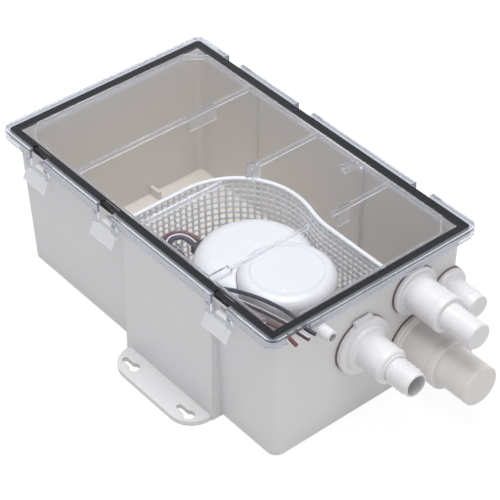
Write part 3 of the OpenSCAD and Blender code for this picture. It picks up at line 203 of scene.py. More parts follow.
@dataclass(frozen=True)
class Surface:
    """An opaque surface with fine relief and slight changes of tone.

    Attributes:
        name: What the real surface is.
        tone: Its colour.
        roughness: Its mean roughness.
        grain: Size of its relief, in millimetres.
        relief: Depth of its relief, in millimetres.
        drift: How far its tone wanders.
        spread: How far its roughness wanders.
        edge: Radius that its corners have, in millimetres.
        metallic: 1 for a metal.
        ior: Its index of refraction.
    """

    name: str
    tone: Tone
    roughness: float
    grain: float = 0.8
    relief: float = 0.01
    drift: float = 0.03
    spread: float = 0.06
    edge: float = 0.4
    metallic: float = 0.0
    ior: float = 1.5

    def colour(self, tree: bpy.types.NodeTree, place: bpy.types.NodeSocket) -> bpy.types.NodeSocket:
        """Gives the tone at a place, before it wanders.

        Args:
            tree: The node tree.
            place: The place on the object, in metres; not used here.

        Returns:
            The tone's socket.
        """
        node = add_node(tree, "RGB")
        node.outputs[0].default_value = linear(self.tone)
        return node.outputs[0]

    def height(self, tree: bpy.types.NodeTree, place: bpy.types.NodeSocket) -> bpy.types.NodeSocket:
        """Gives the fine relief at a place.

        Args:
            tree: The node tree.
            place: The place on the object, in metres.

        Returns:
            The relief's socket, from 0 to 1.
        """
        values = {"Scale": NOISE_PER_METRE / self.grain, "Detail": 3.0}
        return add_node(tree, "TexNoise", values, {"Vector": place}).outputs[0]

    def build(self) -> bpy.types.Material:
        """Makes the material.

        Returns:
            The finished material.
        """
        made, tree, output = new_material(self.name)
        place = add_node(tree, "TexCoord").outputs["Object"]
        values = {"Scale": CLOUD_SCALE, "Detail": 4.0}
        cloud = add_node(tree, "TexNoise", values, {"Vector": place}).outputs[0]
        limits = {3: 1 - self.drift, 4: 1 + self.drift * LIGHTER_SHARE}
        shade = add_node(tree, "MapRange", limits, {0: cloud})
        limits = {3: self.roughness - self.spread, 4: self.roughness + self.spread}
        rough = add_node(tree, "MapRange", limits, {0: cloud})
        parts = {0: self.colour(tree, place), 1: shade.outputs[0]}
        tint = add_node(tree, "VectorMath", links=parts, operation="MULTIPLY")
        corner = add_node(tree, "Bevel", {"Radius": self.edge * MM}, samples=4)
        shape = {"Height": self.height(tree, place), "Normal": corner.outputs[0]}
        bump = add_node(tree, "Bump", {"Distance": self.relief * MM}, shape)
        feeds = {"Base Color": tint.outputs[0], "Roughness": rough.outputs[0], "Normal": bump.outputs[0]}
        shader = add_node(tree, "BsdfPrincipled", {"Metallic": self.metallic, "IOR": self.ior}, feeds)
        tree.links.new(shader.outputs[0], output.inputs[0])
        return made


@dataclass(frozen=True)
class TubPlastic(Surface):
    """White ABS with painted shade, darker and warmer, on its inside walls, where light comes through the
    lid, and painted light on its inside floor.

    Attributes:
        inner: Tone of the inside walls, a painted shade.
        floor: Tone of the inside floor, a painted light on faces that look up.
        wall_top: Height under which the inside walls get the painted shade, in metres.
        floor_top: Height under which the floor's faces lie, in metres.
        floor_half: Half length and half width of the inside floor, in metres.
        level: How far up a face looks to be floor.
        lean: Under this, a face looks towards the tub's middle.
    """

    inner: Tone = Tone.WARM_WALL
    floor: Tone = Tone.CREAM_FLOOR
    wall_top: float = 0.114
    floor_top: float = 0.02
    floor_half: tuple[float, float] = (0.148, 0.0835)
    level: float = 0.9
    lean: float = -0.003

    def colour(self, tree: bpy.types.NodeTree, place: bpy.types.NodeSocket) -> bpy.types.NodeSocket:
        """Gives white outside, painted shade on the inside walls and painted light on the floor.

        Args:
            tree: The node tree.
            place: The place on the object, in metres.

        Returns:
            The tone's socket.
        """
        split = add_node(tree, "SeparateXYZ", links={0: place}).outputs
        facing = add_node(tree, "NewGeometry").outputs["Normal"]
        upward = add_node(tree, "SeparateXYZ", links={0: facing}).outputs[2]
        flat = add_node(tree, "CombineXYZ", links={0: split[0], 1: split[1]}).outputs[0]
        away = add_node(tree, "VectorMath", links={0: flat, 1: facing}, operation="DOT_PRODUCT")
        feeds = {0: away.outputs["Value"]}
        inward = add_node(tree, "Math", {1: self.lean}, feeds, operation="LESS_THAN").outputs[0]
        feeds = {0: split[2]}
        below = add_node(tree, "Math", {1: self.wall_top}, feeds, operation="LESS_THAN").outputs[0]
        shaded_walls = add_node(tree, "Math", links={0: inward, 1: below}, operation="MULTIPLY").outputs[0]
        # Painted shade: inward faces under the rim get a darker, warmer tone
        feeds = {"Fac": shaded_walls, "Color1": super().colour(tree, place)}
        tone = add_node(tree, "MixRGB", {"Color2": linear(self.inner)}, feeds).outputs[0]
        # Painted light: inside floor faces that look up get a lighter cream tone
        level = add_node(tree, "Math", {1: self.level}, {0: upward}, operation="GREATER_THAN").outputs[0]
        low = add_node(tree, "Math", {1: self.floor_top}, {0: split[2]}, operation="LESS_THAN").outputs[0]
        floor = add_node(tree, "Math", links={0: level, 1: low}, operation="MULTIPLY").outputs[0]
        for socket, limit in zip(split, self.floor_half):
            size = add_node(tree, "Math", links={0: socket}, operation="ABSOLUTE").outputs[0]
            held = add_node(tree, "Math", {1: limit}, {0: size}, operation="LESS_THAN").outputs[0]
            floor = add_node(tree, "Math", links={0: floor, 1: held}, operation="MULTIPLY").outputs[0]
        feeds = {"Fac": floor, "Color1": tone}
        return add_node(tree, "MixRGB", {"Color2": linear(self.floor)}, feeds).outputs[0]


@dataclass(frozen=True)
class StackedIron(Surface):
    """Varnished steel sheets stacked along the shaft, drawn 1 mm thick so that they show.

    Attributes:
        sheet: Thickness of a sheet, in millimetres.
    """

    sheet: float = 1.0

    def height(self, tree: bpy.types.NodeTree, place: bpy.types.NodeSocket) -> bpy.types.NodeSocket:
        """Gives one groove for each sheet.

        Args:
            tree: The node tree.
            place: The place on the object, in metres.

        Returns:
            The relief's socket, from 0 to 1.
        """
        scale = NOISE_PER_METRE / math.tau / self.sheet
        node = add_node(tree, "TexWave", {"Scale": scale}, {"Vector": place}, bands_direction="Z")
        return node.outputs["Fac"]


@dataclass(frozen=True)
class PorousFoam(Surface):
    """Closed-cell nitrile foam with open pores on its skin."""

    def height(self, tree: bpy.types.NodeTree, place: bpy.types.NodeSocket) -> bpy.types.NodeSocket:
        """Gives the pores.

        Args:
            tree: The node tree.
            place: The place on the object, in metres.

        Returns:
            The relief's socket, from 0 to 1.
        """
        node = add_node(tree, "TexVoronoi", {"Scale": NOISE_PER_METRE / self.grain}, {"Vector": place})
        return node.outputs["Distance"]


@dataclass(frozen=True)
class WireJacket(Surface):
    """A wire's smooth vinyl jacket, with a stripe along it where stripe is given.

    Attributes:
        stripe: The stripe's tone.
        stripe_at: Where the stripe's middle lies, as a share of a turn.
        stripe_half: Half its width, where it starts to fade and where it ends.
    """

    stripe: Tone | None = None
    stripe_at: float = 0.56
    stripe_half: tuple[float, float] = (0.06, 0.075)

    def colour(self, tree: bpy.types.NodeTree, place: bpy.types.NodeSocket) -> bpy.types.NodeSocket:
        """Gives the jacket's tone, with its stripe by the piece's own unwrapping.

        Args:
            tree: The node tree.
            place: The place on the object, in metres.

        Returns:
            The tone's socket.
        """
        base = super().colour(tree, place)
        if self.stripe is None:
            return base
        around = add_node(tree, "UVMap", uv_map="jacket").outputs[0]
        turn = add_node(tree, "SeparateXYZ", links={0: around}).outputs[0]
        off = add_node(tree, "Math", {1: self.stripe_at}, {0: turn}, operation="SUBTRACT").outputs[0]
        size = add_node(tree, "Math", links={0: off}, operation="ABSOLUTE").outputs[0]
        near, far = self.stripe_half
        share = add_node(tree, "MapRange", {1: near, 2: far, 3: 1.0, 4: 0.0}, {0: size}).outputs[0]
        feeds = {"Fac": share, "Color1": base}
        return add_node(tree, "MixRGB", {"Color2": linear(self.stripe)}, feeds).outputs[0]


@dataclass(frozen=True)
class ClearPlastic:
    """Clear moulded plastic, which lets the studio's light through to what is inside.

    Attributes:
        name: What the real surface is.
        tone: Its faint tint.
        roughness: Its roughness where it is clear.
        ior: Its index of refraction.
        frost_below: Height under which it is frosted, in metres.
        haze_below: Height under which its inner ribs are a little hazy, in metres.
        shine: Tone of what it mirrors, a painted reflection, dark because the room over it is.
        depth: How strongly it tints light along its thickness, per metre.
        border: Half lengths past which its edges get a bluish painted reflection, in metres.
        frosted_pass: Share of light that passes where it is frosted.
        frosted_roughness: Its roughness where it is frosted.
        rib_haze: Share of frost on its ribs.
        border_haze: Share of frost on its edges.
        flow_scale: Waves in a metre that its tool left.
        flow_depth: Their depth, in millimetres.
    """

    name: str
    tone: Tone
    roughness: float = 0.03
    ior: float = 1.5
    frost_below: float = -1.0
    haze_below: float = -1.0
    shine: Tone = Tone.EDGE_BLUE
    depth: float = 12.0
    border: tuple[float, float] = (0.1567, 0.0927)
    frosted_pass: float = 0.45
    frosted_roughness: float = 0.36
    rib_haze: float = 0.3
    border_haze: float = 0.18
    flow_scale: float = 55.0
    flow_depth: float = 0.03

    def past_border(
        self, tree: bpy.types.NodeTree, sides: bpy.types.bpy_prop_collection
    ) -> bpy.types.NodeSocket:
        """Gives 1 past the border and 0 inside it.

        Args:
            tree: The node tree.
            sides: The place's parts along each axis.

        Returns:
            The share's socket.
        """
        over = []
        for socket, limit in zip(sides, self.border):
            size = add_node(tree, "Math", links={0: socket}, operation="ABSOLUTE").outputs[0]
            over.append(add_node(tree, "Math", {1: limit}, {0: size}, operation="GREATER_THAN").outputs[0])
        return add_node(tree, "Math", links={0: over[0], 1: over[1]}, operation="MAXIMUM").outputs[0]

    def build(self) -> bpy.types.Material:
        """Makes the material.

        Returns:
            The finished material.
        """
        made, tree, output = new_material(self.name)
        place = add_node(tree, "TexCoord").outputs["Object"]
        sides = add_node(tree, "SeparateXYZ", links={0: place}).outputs
        up = {0: sides[2]}
        frost = add_node(tree, "Math", {1: self.frost_below}, up, operation="LESS_THAN").outputs[0]
        values = {"Scale": self.flow_scale, "Detail": 2.0}
        flow = add_node(tree, "TexNoise", values, {"Vector": place}).outputs[0]
        bump = add_node(tree, "Bump", {"Distance": self.flow_depth * MM}, {"Height": flow}).outputs[0]
        outside = self.past_border(tree, sides)
        # Painted reflection: past the border the edges are tinted bluish
        tones = {"Color1": linear(self.tone), "Color2": linear(Tone.BORDER_BLUE)}
        tint = add_node(tree, "MixRGB", tones, {"Fac": outside}).outputs[0]
        feeds = {"Fac": frost, "Color1": tint}
        tint = add_node(tree, "MixRGB", {"Color2": linear(Tone.FROSTED_SAN)}, feeds).outputs[0]
        low = add_node(tree, "Math", {1: self.haze_below}, up, operation="LESS_THAN").outputs[0]
        feeds = {0: low, 1: outside}
        ribs = add_node(tree, "Math", links=feeds, operation="SUBTRACT", use_clamp=True).outputs[0]
        milk = frost
        for share, haze in ((ribs, self.rib_haze), (outside, self.border_haze)):
            feeds = {0: share, 2: milk}
            milk = add_node(tree, "Math", {1: haze}, feeds, operation="MULTIPLY_ADD").outputs[0]
        passes = add_node(tree, "MapRange", {3: 1.0, 4: self.frosted_pass}, {0: milk}).outputs[0]
        limits = {3: self.roughness, 4: self.frosted_roughness}
        rough = add_node(tree, "MapRange", limits, {0: milk}).outputs[0]
        feeds = {"Base Color": tint, "Transmission Weight": passes, "Roughness": rough, "Normal": bump}
        # Painted reflection: the specular tint darkens what it mirrors
        values = {"IOR": self.ior, "Specular Tint": linear(self.shine)}
        pane = add_node(tree, "BsdfPrincipled", values, feeds).outputs[0]
        clear = add_node(tree, "BsdfTransparent", {0: linear(self.tone)}).outputs[0]
        ray = add_node(tree, "LightPath").outputs
        feeds = {0: ray["Is Shadow Ray"], 1: ray["Is Diffuse Ray"]}
        unseen = add_node(tree, "Math", links=feeds, operation="MAXIMUM").outputs[0]
        mixed = add_node(tree, "MixShader", links={0: unseen, 1: pane, 2: clear}).outputs[0]
        tree.links.new(mixed, output.inputs[0])
        body = add_node(tree, "VolumeAbsorption", {0: linear(Tone.THICK_BLUE), 1: self.depth})
        tree.links.new(body.outputs[0], output.inputs["Volume"])
        return made


# Moulded ABS has a satin skin; its tool leaves a fine, even grain
# Its inside walls carry painted shade and its inside floor painted light
WHITE_TUB = TubPlastic("white_ABS_moulded", Tone.WHITE_ABS, 0.42, grain=1.2, relief=0.012, edge=0.6)
# EPDM is matt and near black, with a dusty bloom
GASKET_RUBBER = Surface(
    "EPDM_rubber_gasket", Tone.GASKET_BLACK, 0.62, grain=0.6, relief=0.03, drift=0.12, ior=1.3
)
# Clear SAN is glass-clear, bright along its moulded edges
CLEAR_LID = ClearPlastic("clear_SAN_moulded", Tone.CLEAR_SAN, ior=1.57, haze_below=0.1229)
CLEAR_LATCH = ClearPlastic("clear_SAN_with_frosted_tab", Tone.CLEAR_SAN, ior=1.57, frost_below=0.1082)
# Nylon ties are milky and a little rough
CLEAR_TIE = ClearPlastic("natural_nylon_tie", Tone.CLEAR_SAN, roughness=0.22, ior=1.53)
# Polypropylene fittings and screen are waxy, with a soft sheen
WHITE_SCREEN = Surface("white_polypropylene_mesh", Tone.SCREEN_WHITE, 0.34, grain=0.9, relief=0.006)
WHITE_FITTING = Surface(
    "white_polypropylene_turned_mould", Tone.FITTING_WHITE, 0.19, grain=2.0, relief=0.01
)
GREY_FITTING = Surface("natural_polypropylene", Tone.FITTING_GREY, 0.36, grain=2.0, relief=0.012)
SEAL_RUBBER = Surface("nitrile_rubber_seal", Tone.SEAL_BROWN, 0.6, grain=0.6, relief=0.03)
# The pump's shell is polished white ABS, brighter than the tub
PUMP_SHELL = Surface("white_ABS_polished", Tone.PUMP_WHITE, 0.26, grain=2.5, relief=0.006, edge=0.8)
PUMP_PLASTIC = Surface("glass_filled_nylon", Tone.IRON, 0.5, grain=0.5, relief=0.03)
BLACK_RUBBER = Surface("black_rubber_hose", Tone.RUBBER_BLACK, 0.5, grain=0.7, relief=0.03, drift=0.1)
LABEL_FACE = Surface("white_vinyl_label", Tone.LABEL_WHITE, 0.22, grain=3.0, relief=0.01, edge=0.15)
# Stainless parts are turned and bright; the motor can is drawn and zinc plated
STAINLESS = Surface("stainless_steel_turned", Tone.STEEL, 0.24, grain=0.3, relief=0.004, metallic=1.0)
ZINC_CAN = Surface("zinc_plated_steel", Tone.ZINC, 0.34, grain=0.6, relief=0.006, metallic=1.0)
SINTERED_BRONZE = Surface("sintered_bronze", Tone.BRONZE, 0.45, grain=0.3, relief=0.02, metallic=1.0)
BRIGHT_COPPER = Surface("turned_copper", Tone.COPPER, 0.3, grain=0.3, relief=0.004, metallic=1.0)
IRON_STACK = StackedIron("varnished_iron_sheets", Tone.IRON, 0.42, relief=0.12, metallic=1.0)
BLACK_FERRITE = Surface("sintered_ferrite", Tone.FERRITE, 0.55, grain=0.3, relief=0.02)
FLOAT_FOAM = PorousFoam("nitrile_foam_float", Tone.FOAM_BLACK, 0.7, grain=0.9, relief=0.12)
GLASS_CAPSULE = ClearPlastic("reed_switch_glass", Tone.CAPSULE_GREEN, ior=1.5)
# Vinyl wire jackets are smooth and half glossy
BLACK_JACKET = WireJacket("black_vinyl_jacket", Tone.WIRE_BLACK, 0.36, grain=1.0, relief=0.004)
BROWN_JACKET = WireJacket("brown_vinyl_jacket", Tone.WIRE_BROWN, 0.36, grain=1.0, relief=0.004)
STRIPED_JACKET = WireJacket(
    "brown_vinyl_jacket_with_white_stripe",
    Tone.WIRE_DARK,
    0.36,
    grain=1.0,
    relief=0.004,
    stripe=Tone.STRIPE,
)
BARE_STRANDS = Surface("stranded_copper", Tone.DULL_COPPER, 0.4, grain=0.35, relief=0.1, metallic=1.0)


def deselect() -> None:
    """Leaves edit mode and deselects every object."""
    if bpy.context.object is not None and bpy.context.object.mode != "OBJECT":
        bpy.ops.object.mode_set(mode="OBJECT")
    bpy.ops.object.select_all(action="DESELECT")


def settle(piece: bpy.types.Object, name: str, finish: bpy.types.Material) -> None:
    """Names a piece, applies its place to its mesh and gives it a finish.

    Args:
        piece: The piece, which is the active object.
        name: Its name.
        finish: Its material.
    """
    bpy.ops.object.transform_apply(location=True, rotation=True, scale=True)
    piece.name = name
    piece.data.name = name
    piece.data.materials.clear()
    piece.data.materials.append(finish)


def apply_modifier(piece: bpy.types.Object, kind: str, **settings: object) -> None:
    """Adds a modifier and applies it.

    Args:
        piece: The active object.
        kind: The modifier's type.
        settings: The modifier's settings.
    """
    modifier = piece.modifiers.new(kind.lower(), kind)
    for name, value in settings.items():
        setattr(modifier, name, value)
    bpy.ops.object.modifier_apply(modifier=modifier.name)


@dataclass
class PhotoCamera:
    """The camera, where the photograph was taken from.

    Attributes:
        azimuth: Turn from -Y towards +X, in degrees.
        elevation: Height over the floor, in degrees.
        distance: From the target, in metres.
        roll: Turn about its own axis, in degrees.
        lens: Focal length, in millimetres.
        sensor: Width of the sensor, in millimetres.
        target: What it looks at, in metres.
        clip: Nearest and farthest distance that it sees, in metres.
    """

    azimuth: float = 51.19
    elevation: float = 39.86
    distance: float = 1.47679
    roll: float = -1.086
    lens: float = 140.879
    sensor: float = 36.0
    target: Point = (0.01451, 0.00403, 0.06)
    clip: tuple[float, float] = (0.05, 60.0)

    def build(self) -> None:
        """Makes the scene's camera."""
        turn, rise = math.radians(self.azimuth), math.radians(self.elevation)
        flat = math.cos(rise)
        back = Vector((math.sin(turn) * flat, -math.cos(turn) * flat, math.sin(rise)))
        right = (-back).cross(Vector((0, 0, 1))).normalized()
        up = back.cross(right)
        roll = math.radians(self.roll)
        side = right * math.cos(roll) + up * math.sin(roll)
        top = up * math.cos(roll) - right * math.sin(roll)
        place = Matrix((side, top, back)).transposed().to_4x4()
        place.translation = Vector(self.target) + back * self.distance
        bpy.ops.object.camera_add()
        camera = bpy.context.object
        camera.name = "photo_camera"
        camera.matrix_world = place
        camera.data.lens = self.lens
        camera.data.sensor_width = self.sensor
        camera.data.clip_start, camera.data.clip_end = self.clip
        bpy.context.scene.camera = camera


@dataclass(frozen=True)
class Softbox:
    """A soft square lamp that faces the object.

    Attributes:
        name: Its name.
        place: Where it stands, in metres.
        side: Its side, in metres.
        watts: Its power.
        colour: Its red, green and blue.
        target: What it faces, in metres.
    """

    name: str
    place: Point
    side: float
    watts: float
    colour: Point = (1.0, 1.0, 1.0)
    target: Point = (0.0, 0.0, 0.05)

    def build(self) -> None:
        """Makes the lamp."""
        bpy.ops.object.light_add(type="AREA", location=self.place)
        lamp = bpy.context.object
        lamp.name = self.name
        lamp.data.shape = "SQUARE"
        lamp.data.size = self.side
        lamp.data.energy = self.watts
        lamp.data.color = self.colour
        aim = Vector(self.target) - lamp.location
        lamp.rotation_euler = aim.to_track_quat("-Z", "Y").to_euler()


# One lamp overhead and one to the right, a little warmer
SOFTBOXES = (
    Softbox("overhead_softbox", (0.05, -0.1, 1.7), 1.3, 27.0),
    Softbox("side_softbox", (1.5, -0.1, 0.75), 1.0, 3.3, (0.99, 1.0, 0.93)),
)


@dataclass
class Studio:
    """Plain soft light, a white background and a floor that keeps a faint shadow.

    Attributes:
        sky: Level of the world's light.
        sky_tint: Its colour.
        floor_side: Side of the floor, in metres.
        floor_height: Its height, just under the object, in metres.
        paper: How much light the floor gives back.
        paper_white: Its strength where it is seen.
        paper_share: How much of what is seen doesn't come from its shading.
    """

    sky: float = 0.38
    sky_tint: Colour = (0.975, 0.985, 1.0, 1.0)
    floor_side: float = 9.0
    floor_height: float = -0.0002
    paper: float = 0.78
    paper_white: float = 1.08
    paper_share: float = 0.85

    def seen(self, tree: bpy.types.NodeTree) -> bpy.types.NodeSocket:
        """Gives 1 for rays that show the background: straight, mirrored or through clear plastic.

        Args:
            tree: The node tree.

        Returns:
            The share's socket.
        """
        ray = add_node(tree, "LightPath").outputs
        feeds = {0: ray["Is Camera Ray"], 1: ray["Is Glossy Ray"]}
        first = add_node(tree, "Math", links=feeds, operation="MAXIMUM").outputs[0]
        feeds = {0: first, 1: ray["Is Transmission Ray"]}
        return add_node(tree, "Math", links=feeds, operation="MAXIMUM").outputs[0]

    def build_world(self) -> None:
        """Makes the world: white where it is seen, and a plain level of light elsewhere."""
        world = bpy.data.worlds.new("studio_world")
        world.use_nodes = True
        tree = world.node_tree
        tree.nodes.clear()
        output = add_node(tree, "OutputWorld")
        light = add_node(tree, "Background", {0: self.sky_tint, 1: self.sky}).outputs[0]
        white = add_node(tree, "Background", {0: WHITE_LIGHT, 1: 1.0}).outputs[0]
        mixed = add_node(tree, "MixShader", links={0: self.seen(tree), 1: light, 2: white}).outputs[0]
        tree.links.new(mixed, output.inputs[0])
        bpy.context.scene.world = world

    def build_floor(self) -> None:
        """Makes the floor, white to the eye, with part of its light from its own shading."""
        deselect()
        bpy.ops.mesh.primitive_plane_add(size=self.floor_side, location=(0, 0, self.floor_height))
        floor = bpy.context.object
        # White paper has a fine, matt fibre
        made, tree, output = new_material("white_paper_sweep")
        place = add_node(tree, "TexCoord").outputs["Object"]
        fibre = add_node(tree, "TexNoise", {"Scale": FIBRE_SCALE}, {"Vector": place}).outputs[0]
        bump = add_node(tree, "Bump", {"Distance": FIBRE_DEPTH}, {"Height": fibre}).outputs[0]
        tone = (self.paper, self.paper, self.paper, 1.0)
        paper = add_node(tree, "BsdfDiffuse", {0: tone}, {"Normal": bump}).outputs[0]
        white = add_node(tree, "Emission", {0: WHITE_LIGHT, 1: self.paper_white}).outputs[0]
        feeds = {0: self.seen(tree)}
        part = add_node(tree, "Math", {1: self.paper_share}, feeds, operation="MULTIPLY").outputs[0]
        mixed = add_node(tree, "MixShader", links={0: part, 1: paper, 2: white}).outputs[0]
        tree.links.new(mixed, output.inputs[0])
        settle(floor, "studio_floor", made)

    def build(self) -> None:
        """Makes the world, the floor and the lamps."""
        self.build_world()
        self.build_floor()
        for box in SOFTBOXES:
            box.build()
        bpy.context.scene.view_settings.view_transform = "Standard"


@dataclass
class Wire:
    """One of the pump's wires: a limp round cord from the grommet to its bare end.

    Attributes:
        name: The piece's name.
        node: The CAD node that it replaces.
        slot: The record's material slot; not used.
        route: Its middle line, in millimetres.
        jacket: Its finish.
        diameter: Across the jacket, in metres.
        core: Share of the diameter that is copper.
        steps: Rings between two points of the route.
        sides: Faces round the jacket.
    """

    name: str
    node: str
    slot: str
    route: tuple[Point, ...]
    jacket: WireJacket
    diameter: float = 0.003
    core: float = 0.38
    steps: int = 8
    sides: int = 20

    def centre(self) -> list[Vector]:
        """Gives the smooth middle line.

        Returns:
            Its points, in metres.
        """
        knots = [Vector(p) * MM for p in self.route]
        knots = [knots[0] * 2 - knots[1], *knots, knots[-1] * 2 - knots[-2]]
        line = []
        for a, b, c, d in zip(knots, knots[1:], knots[2:], knots[3:]):
            for i in range(self.steps):
                t = i / self.steps
                curve = a * (-t + 2 * t * t - t**3) + b * (2 - 5 * t * t + 3 * t**3)
                line.append((curve + c * (t + 4 * t * t - 3 * t**3) + d * (t**3 - t * t)) / 2)
        return [*line, knots[-2]]

    def ring(
        self, mesh: bmesh.types.BMesh, line: list[Vector], index: int, share: float
    ) -> list[bmesh.types.BMVert]:
        """Adds one ring of points across the line.

        Args:
            mesh: The mesh that it goes into.
            line: The middle line.
            index: Which of the line's points it stands at.
            share: Its radius as a share of the jacket's.

        Returns:
            The ring's points.
        """
        along = (line[min(index + 1, len(line) - 1)] - line[max(index - 1, 0)]).normalized()
        side = along.cross(Vector((0, 0, 1))).normalized()
        top = side.cross(along)
        radius = self.diameter / 2 * share
        made = []
        for k in range(self.sides):
            turn = math.tau * k / self.sides - math.pi
            spot = line[index] + radius * (top * math.cos(turn) - side * math.sin(turn))
            made.append(mesh.verts.new(spot))
        return made

    def tube(self, line: list[Vector], marks: list[float]) -> bpy.types.Mesh:
        """Makes the closed tube, with its cut ends and its unwrapping.

        Args:
            line: The middle line.
            marks: Length of the line up to each of its points.

        Returns:
            The mesh, with the cut ends in the second material.
        """
        mesh = bmesh.new()
        unwrap = mesh.loops.layers.uv.new("jacket")
        rings = [self.ring(mesh, line, i, 1.0) for i in range(len(line))]
        for i, (low, high) in enumerate(zip(rings, rings[1:])):
            for k in range(self.sides):
                j = (k + 1) % self.sides
                face = mesh.faces.new((low[k], low[j], high[j], high[k]))
                face.smooth = True
                around = (k, k + 1, k + 1, k)
                along = (marks[i], marks[i], marks[i + 1], marks[i + 1])
                for loop, u, v in zip(face.loops, around, along):
                    loop[unwrap].uv = (u / self.sides, v)
        for end, ring in ((0, rings[0]), (len(line) - 1, rings[-1])):
            inner = self.ring(mesh, line, end, self.core)
            for k in range(self.sides):
                j = (k + 1) % self.sides
                mesh.faces.new((ring[k], ring[j], inner[j], inner[k]))
            copper = mesh.faces.new(inner)
            copper.material_index = 1
        bmesh.ops.recalc_face_normals(mesh, faces=mesh.faces)
        data = bpy.data.meshes.new(self.name)
        mesh.to_mesh(data)
        mesh.free()
        return data

    def build(self, strands: bpy.types.Material) -> None:
        """Args:
            strands: The finish of the copper in the cut end.
        """
        line = self.centre()
        marks = [0.0]
        for a, b in zip(line, line[1:]):
            marks.append(marks[-1] + (b - a).length)
        data = self.tube(line, marks)
        piece = bpy.data.objects.new(self.name, data)
        bpy.context.scene.collection.objects.link(piece)
        data.materials.append(self.jacket.build())
        data.materials.append(strands)
        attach(piece, "sump")
        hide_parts(self.node)
        LOG.info("%s: %.0f mm long", self.name, marks[-1] / MM)


WIRES = (
    Wire("black_lead", "black_wire", "black_insulation", BLACK_ROUTE, BLACK_JACKET),
    Wire("striped_lead", "striped_wire", "striped_insulation", STRIPED_ROUTE, STRIPED_JACKET),
    Wire("brown_lead", "brown_wire", "brown_insulation", BROWN_ROUTE, BROWN_JACKET),
)


@dataclass
class FilterScreen:
    """The fine mesh wall that keeps hair from the pump. Lengths are in millimetres.

    Its plan runs straight from the near wall, turns a quarter round the pump, swings up and down in a
    wave, and ends straight at the port wall.

    Attributes:
        pitch: From one bar's middle to the next.
        bar: Width of a bar.
        thickness: Of the mesh.
        low: Height of the screen's bottom.
        high: Height of its top.
        foot: Height of the solid band under the mesh.
        rim: Height of the rounded bead on top.
        rim_thickness: Across the bead.
        rim_curve: Radius of the bead's edges.
        stile: Width of the solid strip at each end.
        band_thickness: Across the foot and the end strips.
        band_curve: Radius of their edges.
        mesh_curve: Radius of the bars' edges.
        step: Length of a strip's squares.
        start: Where the plan starts, at the near wall.
        leg: Length of its first straight.
        turn_centre: Middle of the quarter turn.
        turn_radius: Radius of the quarter turn.
        wave_radius: Radius of both arcs of the wave.
        wave_angle: Angle of each arc of the wave, in radians.
        rise_centre: Middle of the wave's first arc.
        fall_centre: Middle of its second arc, on the other side.
        tail: Length of the last straight.
    """

    pitch: float = 5.5
    bar: float = 1.7
    thickness: float = 1.5
    low: float = 3.0
    high: float = 110.0
    foot: float = 5.0
    rim: float = 3.0
    rim_thickness: float = 3.4
    rim_curve: float = 1.3
    stile: float = 4.5
    band_thickness: float = 2.2
    band_curve: float = 0.4
    mesh_curve: float = 0.3
    step: float = 2.5
    start: tuple[float, float] = (-24.0, -82.8)
    leg: float = 57.1
    turn_centre: tuple[float, float] = (34.2, -25.7)
    turn_radius: float = 58.2
    wave_radius: float = 77.2
    wave_angle: float = math.radians(16.94)
    rise_centre: tuple[float, float] = (34.2, -44.7)
    fall_centre: tuple[float, float] = (79.2, 103.0)
    tail: float = 67.6

    def place(self, along: float) -> Vector:
        """Finds a point of the screen's plan.

        Args:
            along: Distance from the near wall, in millimetres.

        Returns:
            The point.
        """
        if along < self.leg:
            return Vector((self.start[0], self.start[1] + along, 0))
        along -= self.leg
        quarter = math.pi / 2
        slope = quarter - self.wave_angle
        arcs = (
            (self.turn_centre, self.turn_radius, math.pi, quarter),
            (self.rise_centre, self.wave_radius, quarter, slope),
            (self.fall_centre, -self.wave_radius, slope, quarter),
        )
        for centre, radius, first, last in arcs:
            arc = abs(radius * (last - first))
            if along < arc:
                angle = first + (last - first) * along / arc
                return Vector((*centre, 0)) + radius * Vector((math.cos(angle), math.sin(angle), 0))
            along -= arc
        return Vector((self.fall_centre[0] + along, self.fall_centre[1] - self.wave_radius, 0))

    def length(self) -> float:
        """Gives the length of the plan, in millimetres.

        Returns:
            The length.
        """
        quarter = self.turn_radius * math.pi / 2
        return self.leg + quarter + 2 * self.wave_radius * self.wave_angle + self.tail

    def sheet(
        self, along: tuple[float, float], height: tuple[float, float], columns: int, rows: int
    ) -> bpy.types.Object:
        """Starts a flat sheet of squares along the plan.

        Args:
            along: Where it starts and ends along the plan.
            height: Its lowest and highest height.
            columns: Squares along it.
            rows: Squares up it.

        Returns:
            The flat sheet, with x along the plan and y up.
        """
        deselect()
        bpy.ops.mesh.primitive_grid_add(x_subdivisions=columns, y_subdivisions=rows, size=2.0)
        sheet = bpy.context.object
        sheet.scale = ((along[1] - along[0]) / 2, (height[1] - height[0]) / 2, 1)
        sheet.location = (sum(along) / 2, sum(height) / 2, 0)
        bpy.ops.object.transform_apply(location=True, rotation=True, scale=True)
        return sheet

    def bend(self, sheet: bpy.types.Object) -> None:
        """Bends a flat sheet round the plan.

        Args:
            sheet: The flat sheet.
        """
        for vertex in sheet.data.vertices:
            vertex.co = (self.place(vertex.co.x) + Vector((0, 0, vertex.co.y))) * MM

    def net(self) -> bpy.types.Object:
        """Makes the mesh, hole by hole.

        Returns:
            The curved mesh.
        """
        start, end = self.stile - self.bar, self.length() - self.stile + self.bar
        low, high = self.low + self.foot - self.bar, self.high - self.rim + self.bar
        columns, rows = round((end - start) / self.pitch), round((high - low) / self.pitch)
        net = self.sheet((start, end), (low, high), columns, rows)
        bpy.ops.object.mode_set(mode="EDIT")
        bpy.ops.mesh.select_mode(type="FACE")
        bpy.ops.mesh.select_all(action="SELECT")
        bpy.ops.mesh.inset(use_individual=True, use_even_offset=True, thickness=self.bar / 2, depth=0)
        bpy.ops.mesh.delete(type="ONLY_FACE")
        bpy.ops.object.mode_set(mode="OBJECT")
        self.bend(net)
        apply_modifier(net, "SOLIDIFY", thickness=self.thickness * MM, offset=0.0)
        apply_modifier(net, "BEVEL", width=self.mesh_curve * MM, segments=1, limit_method="ANGLE")
        return net

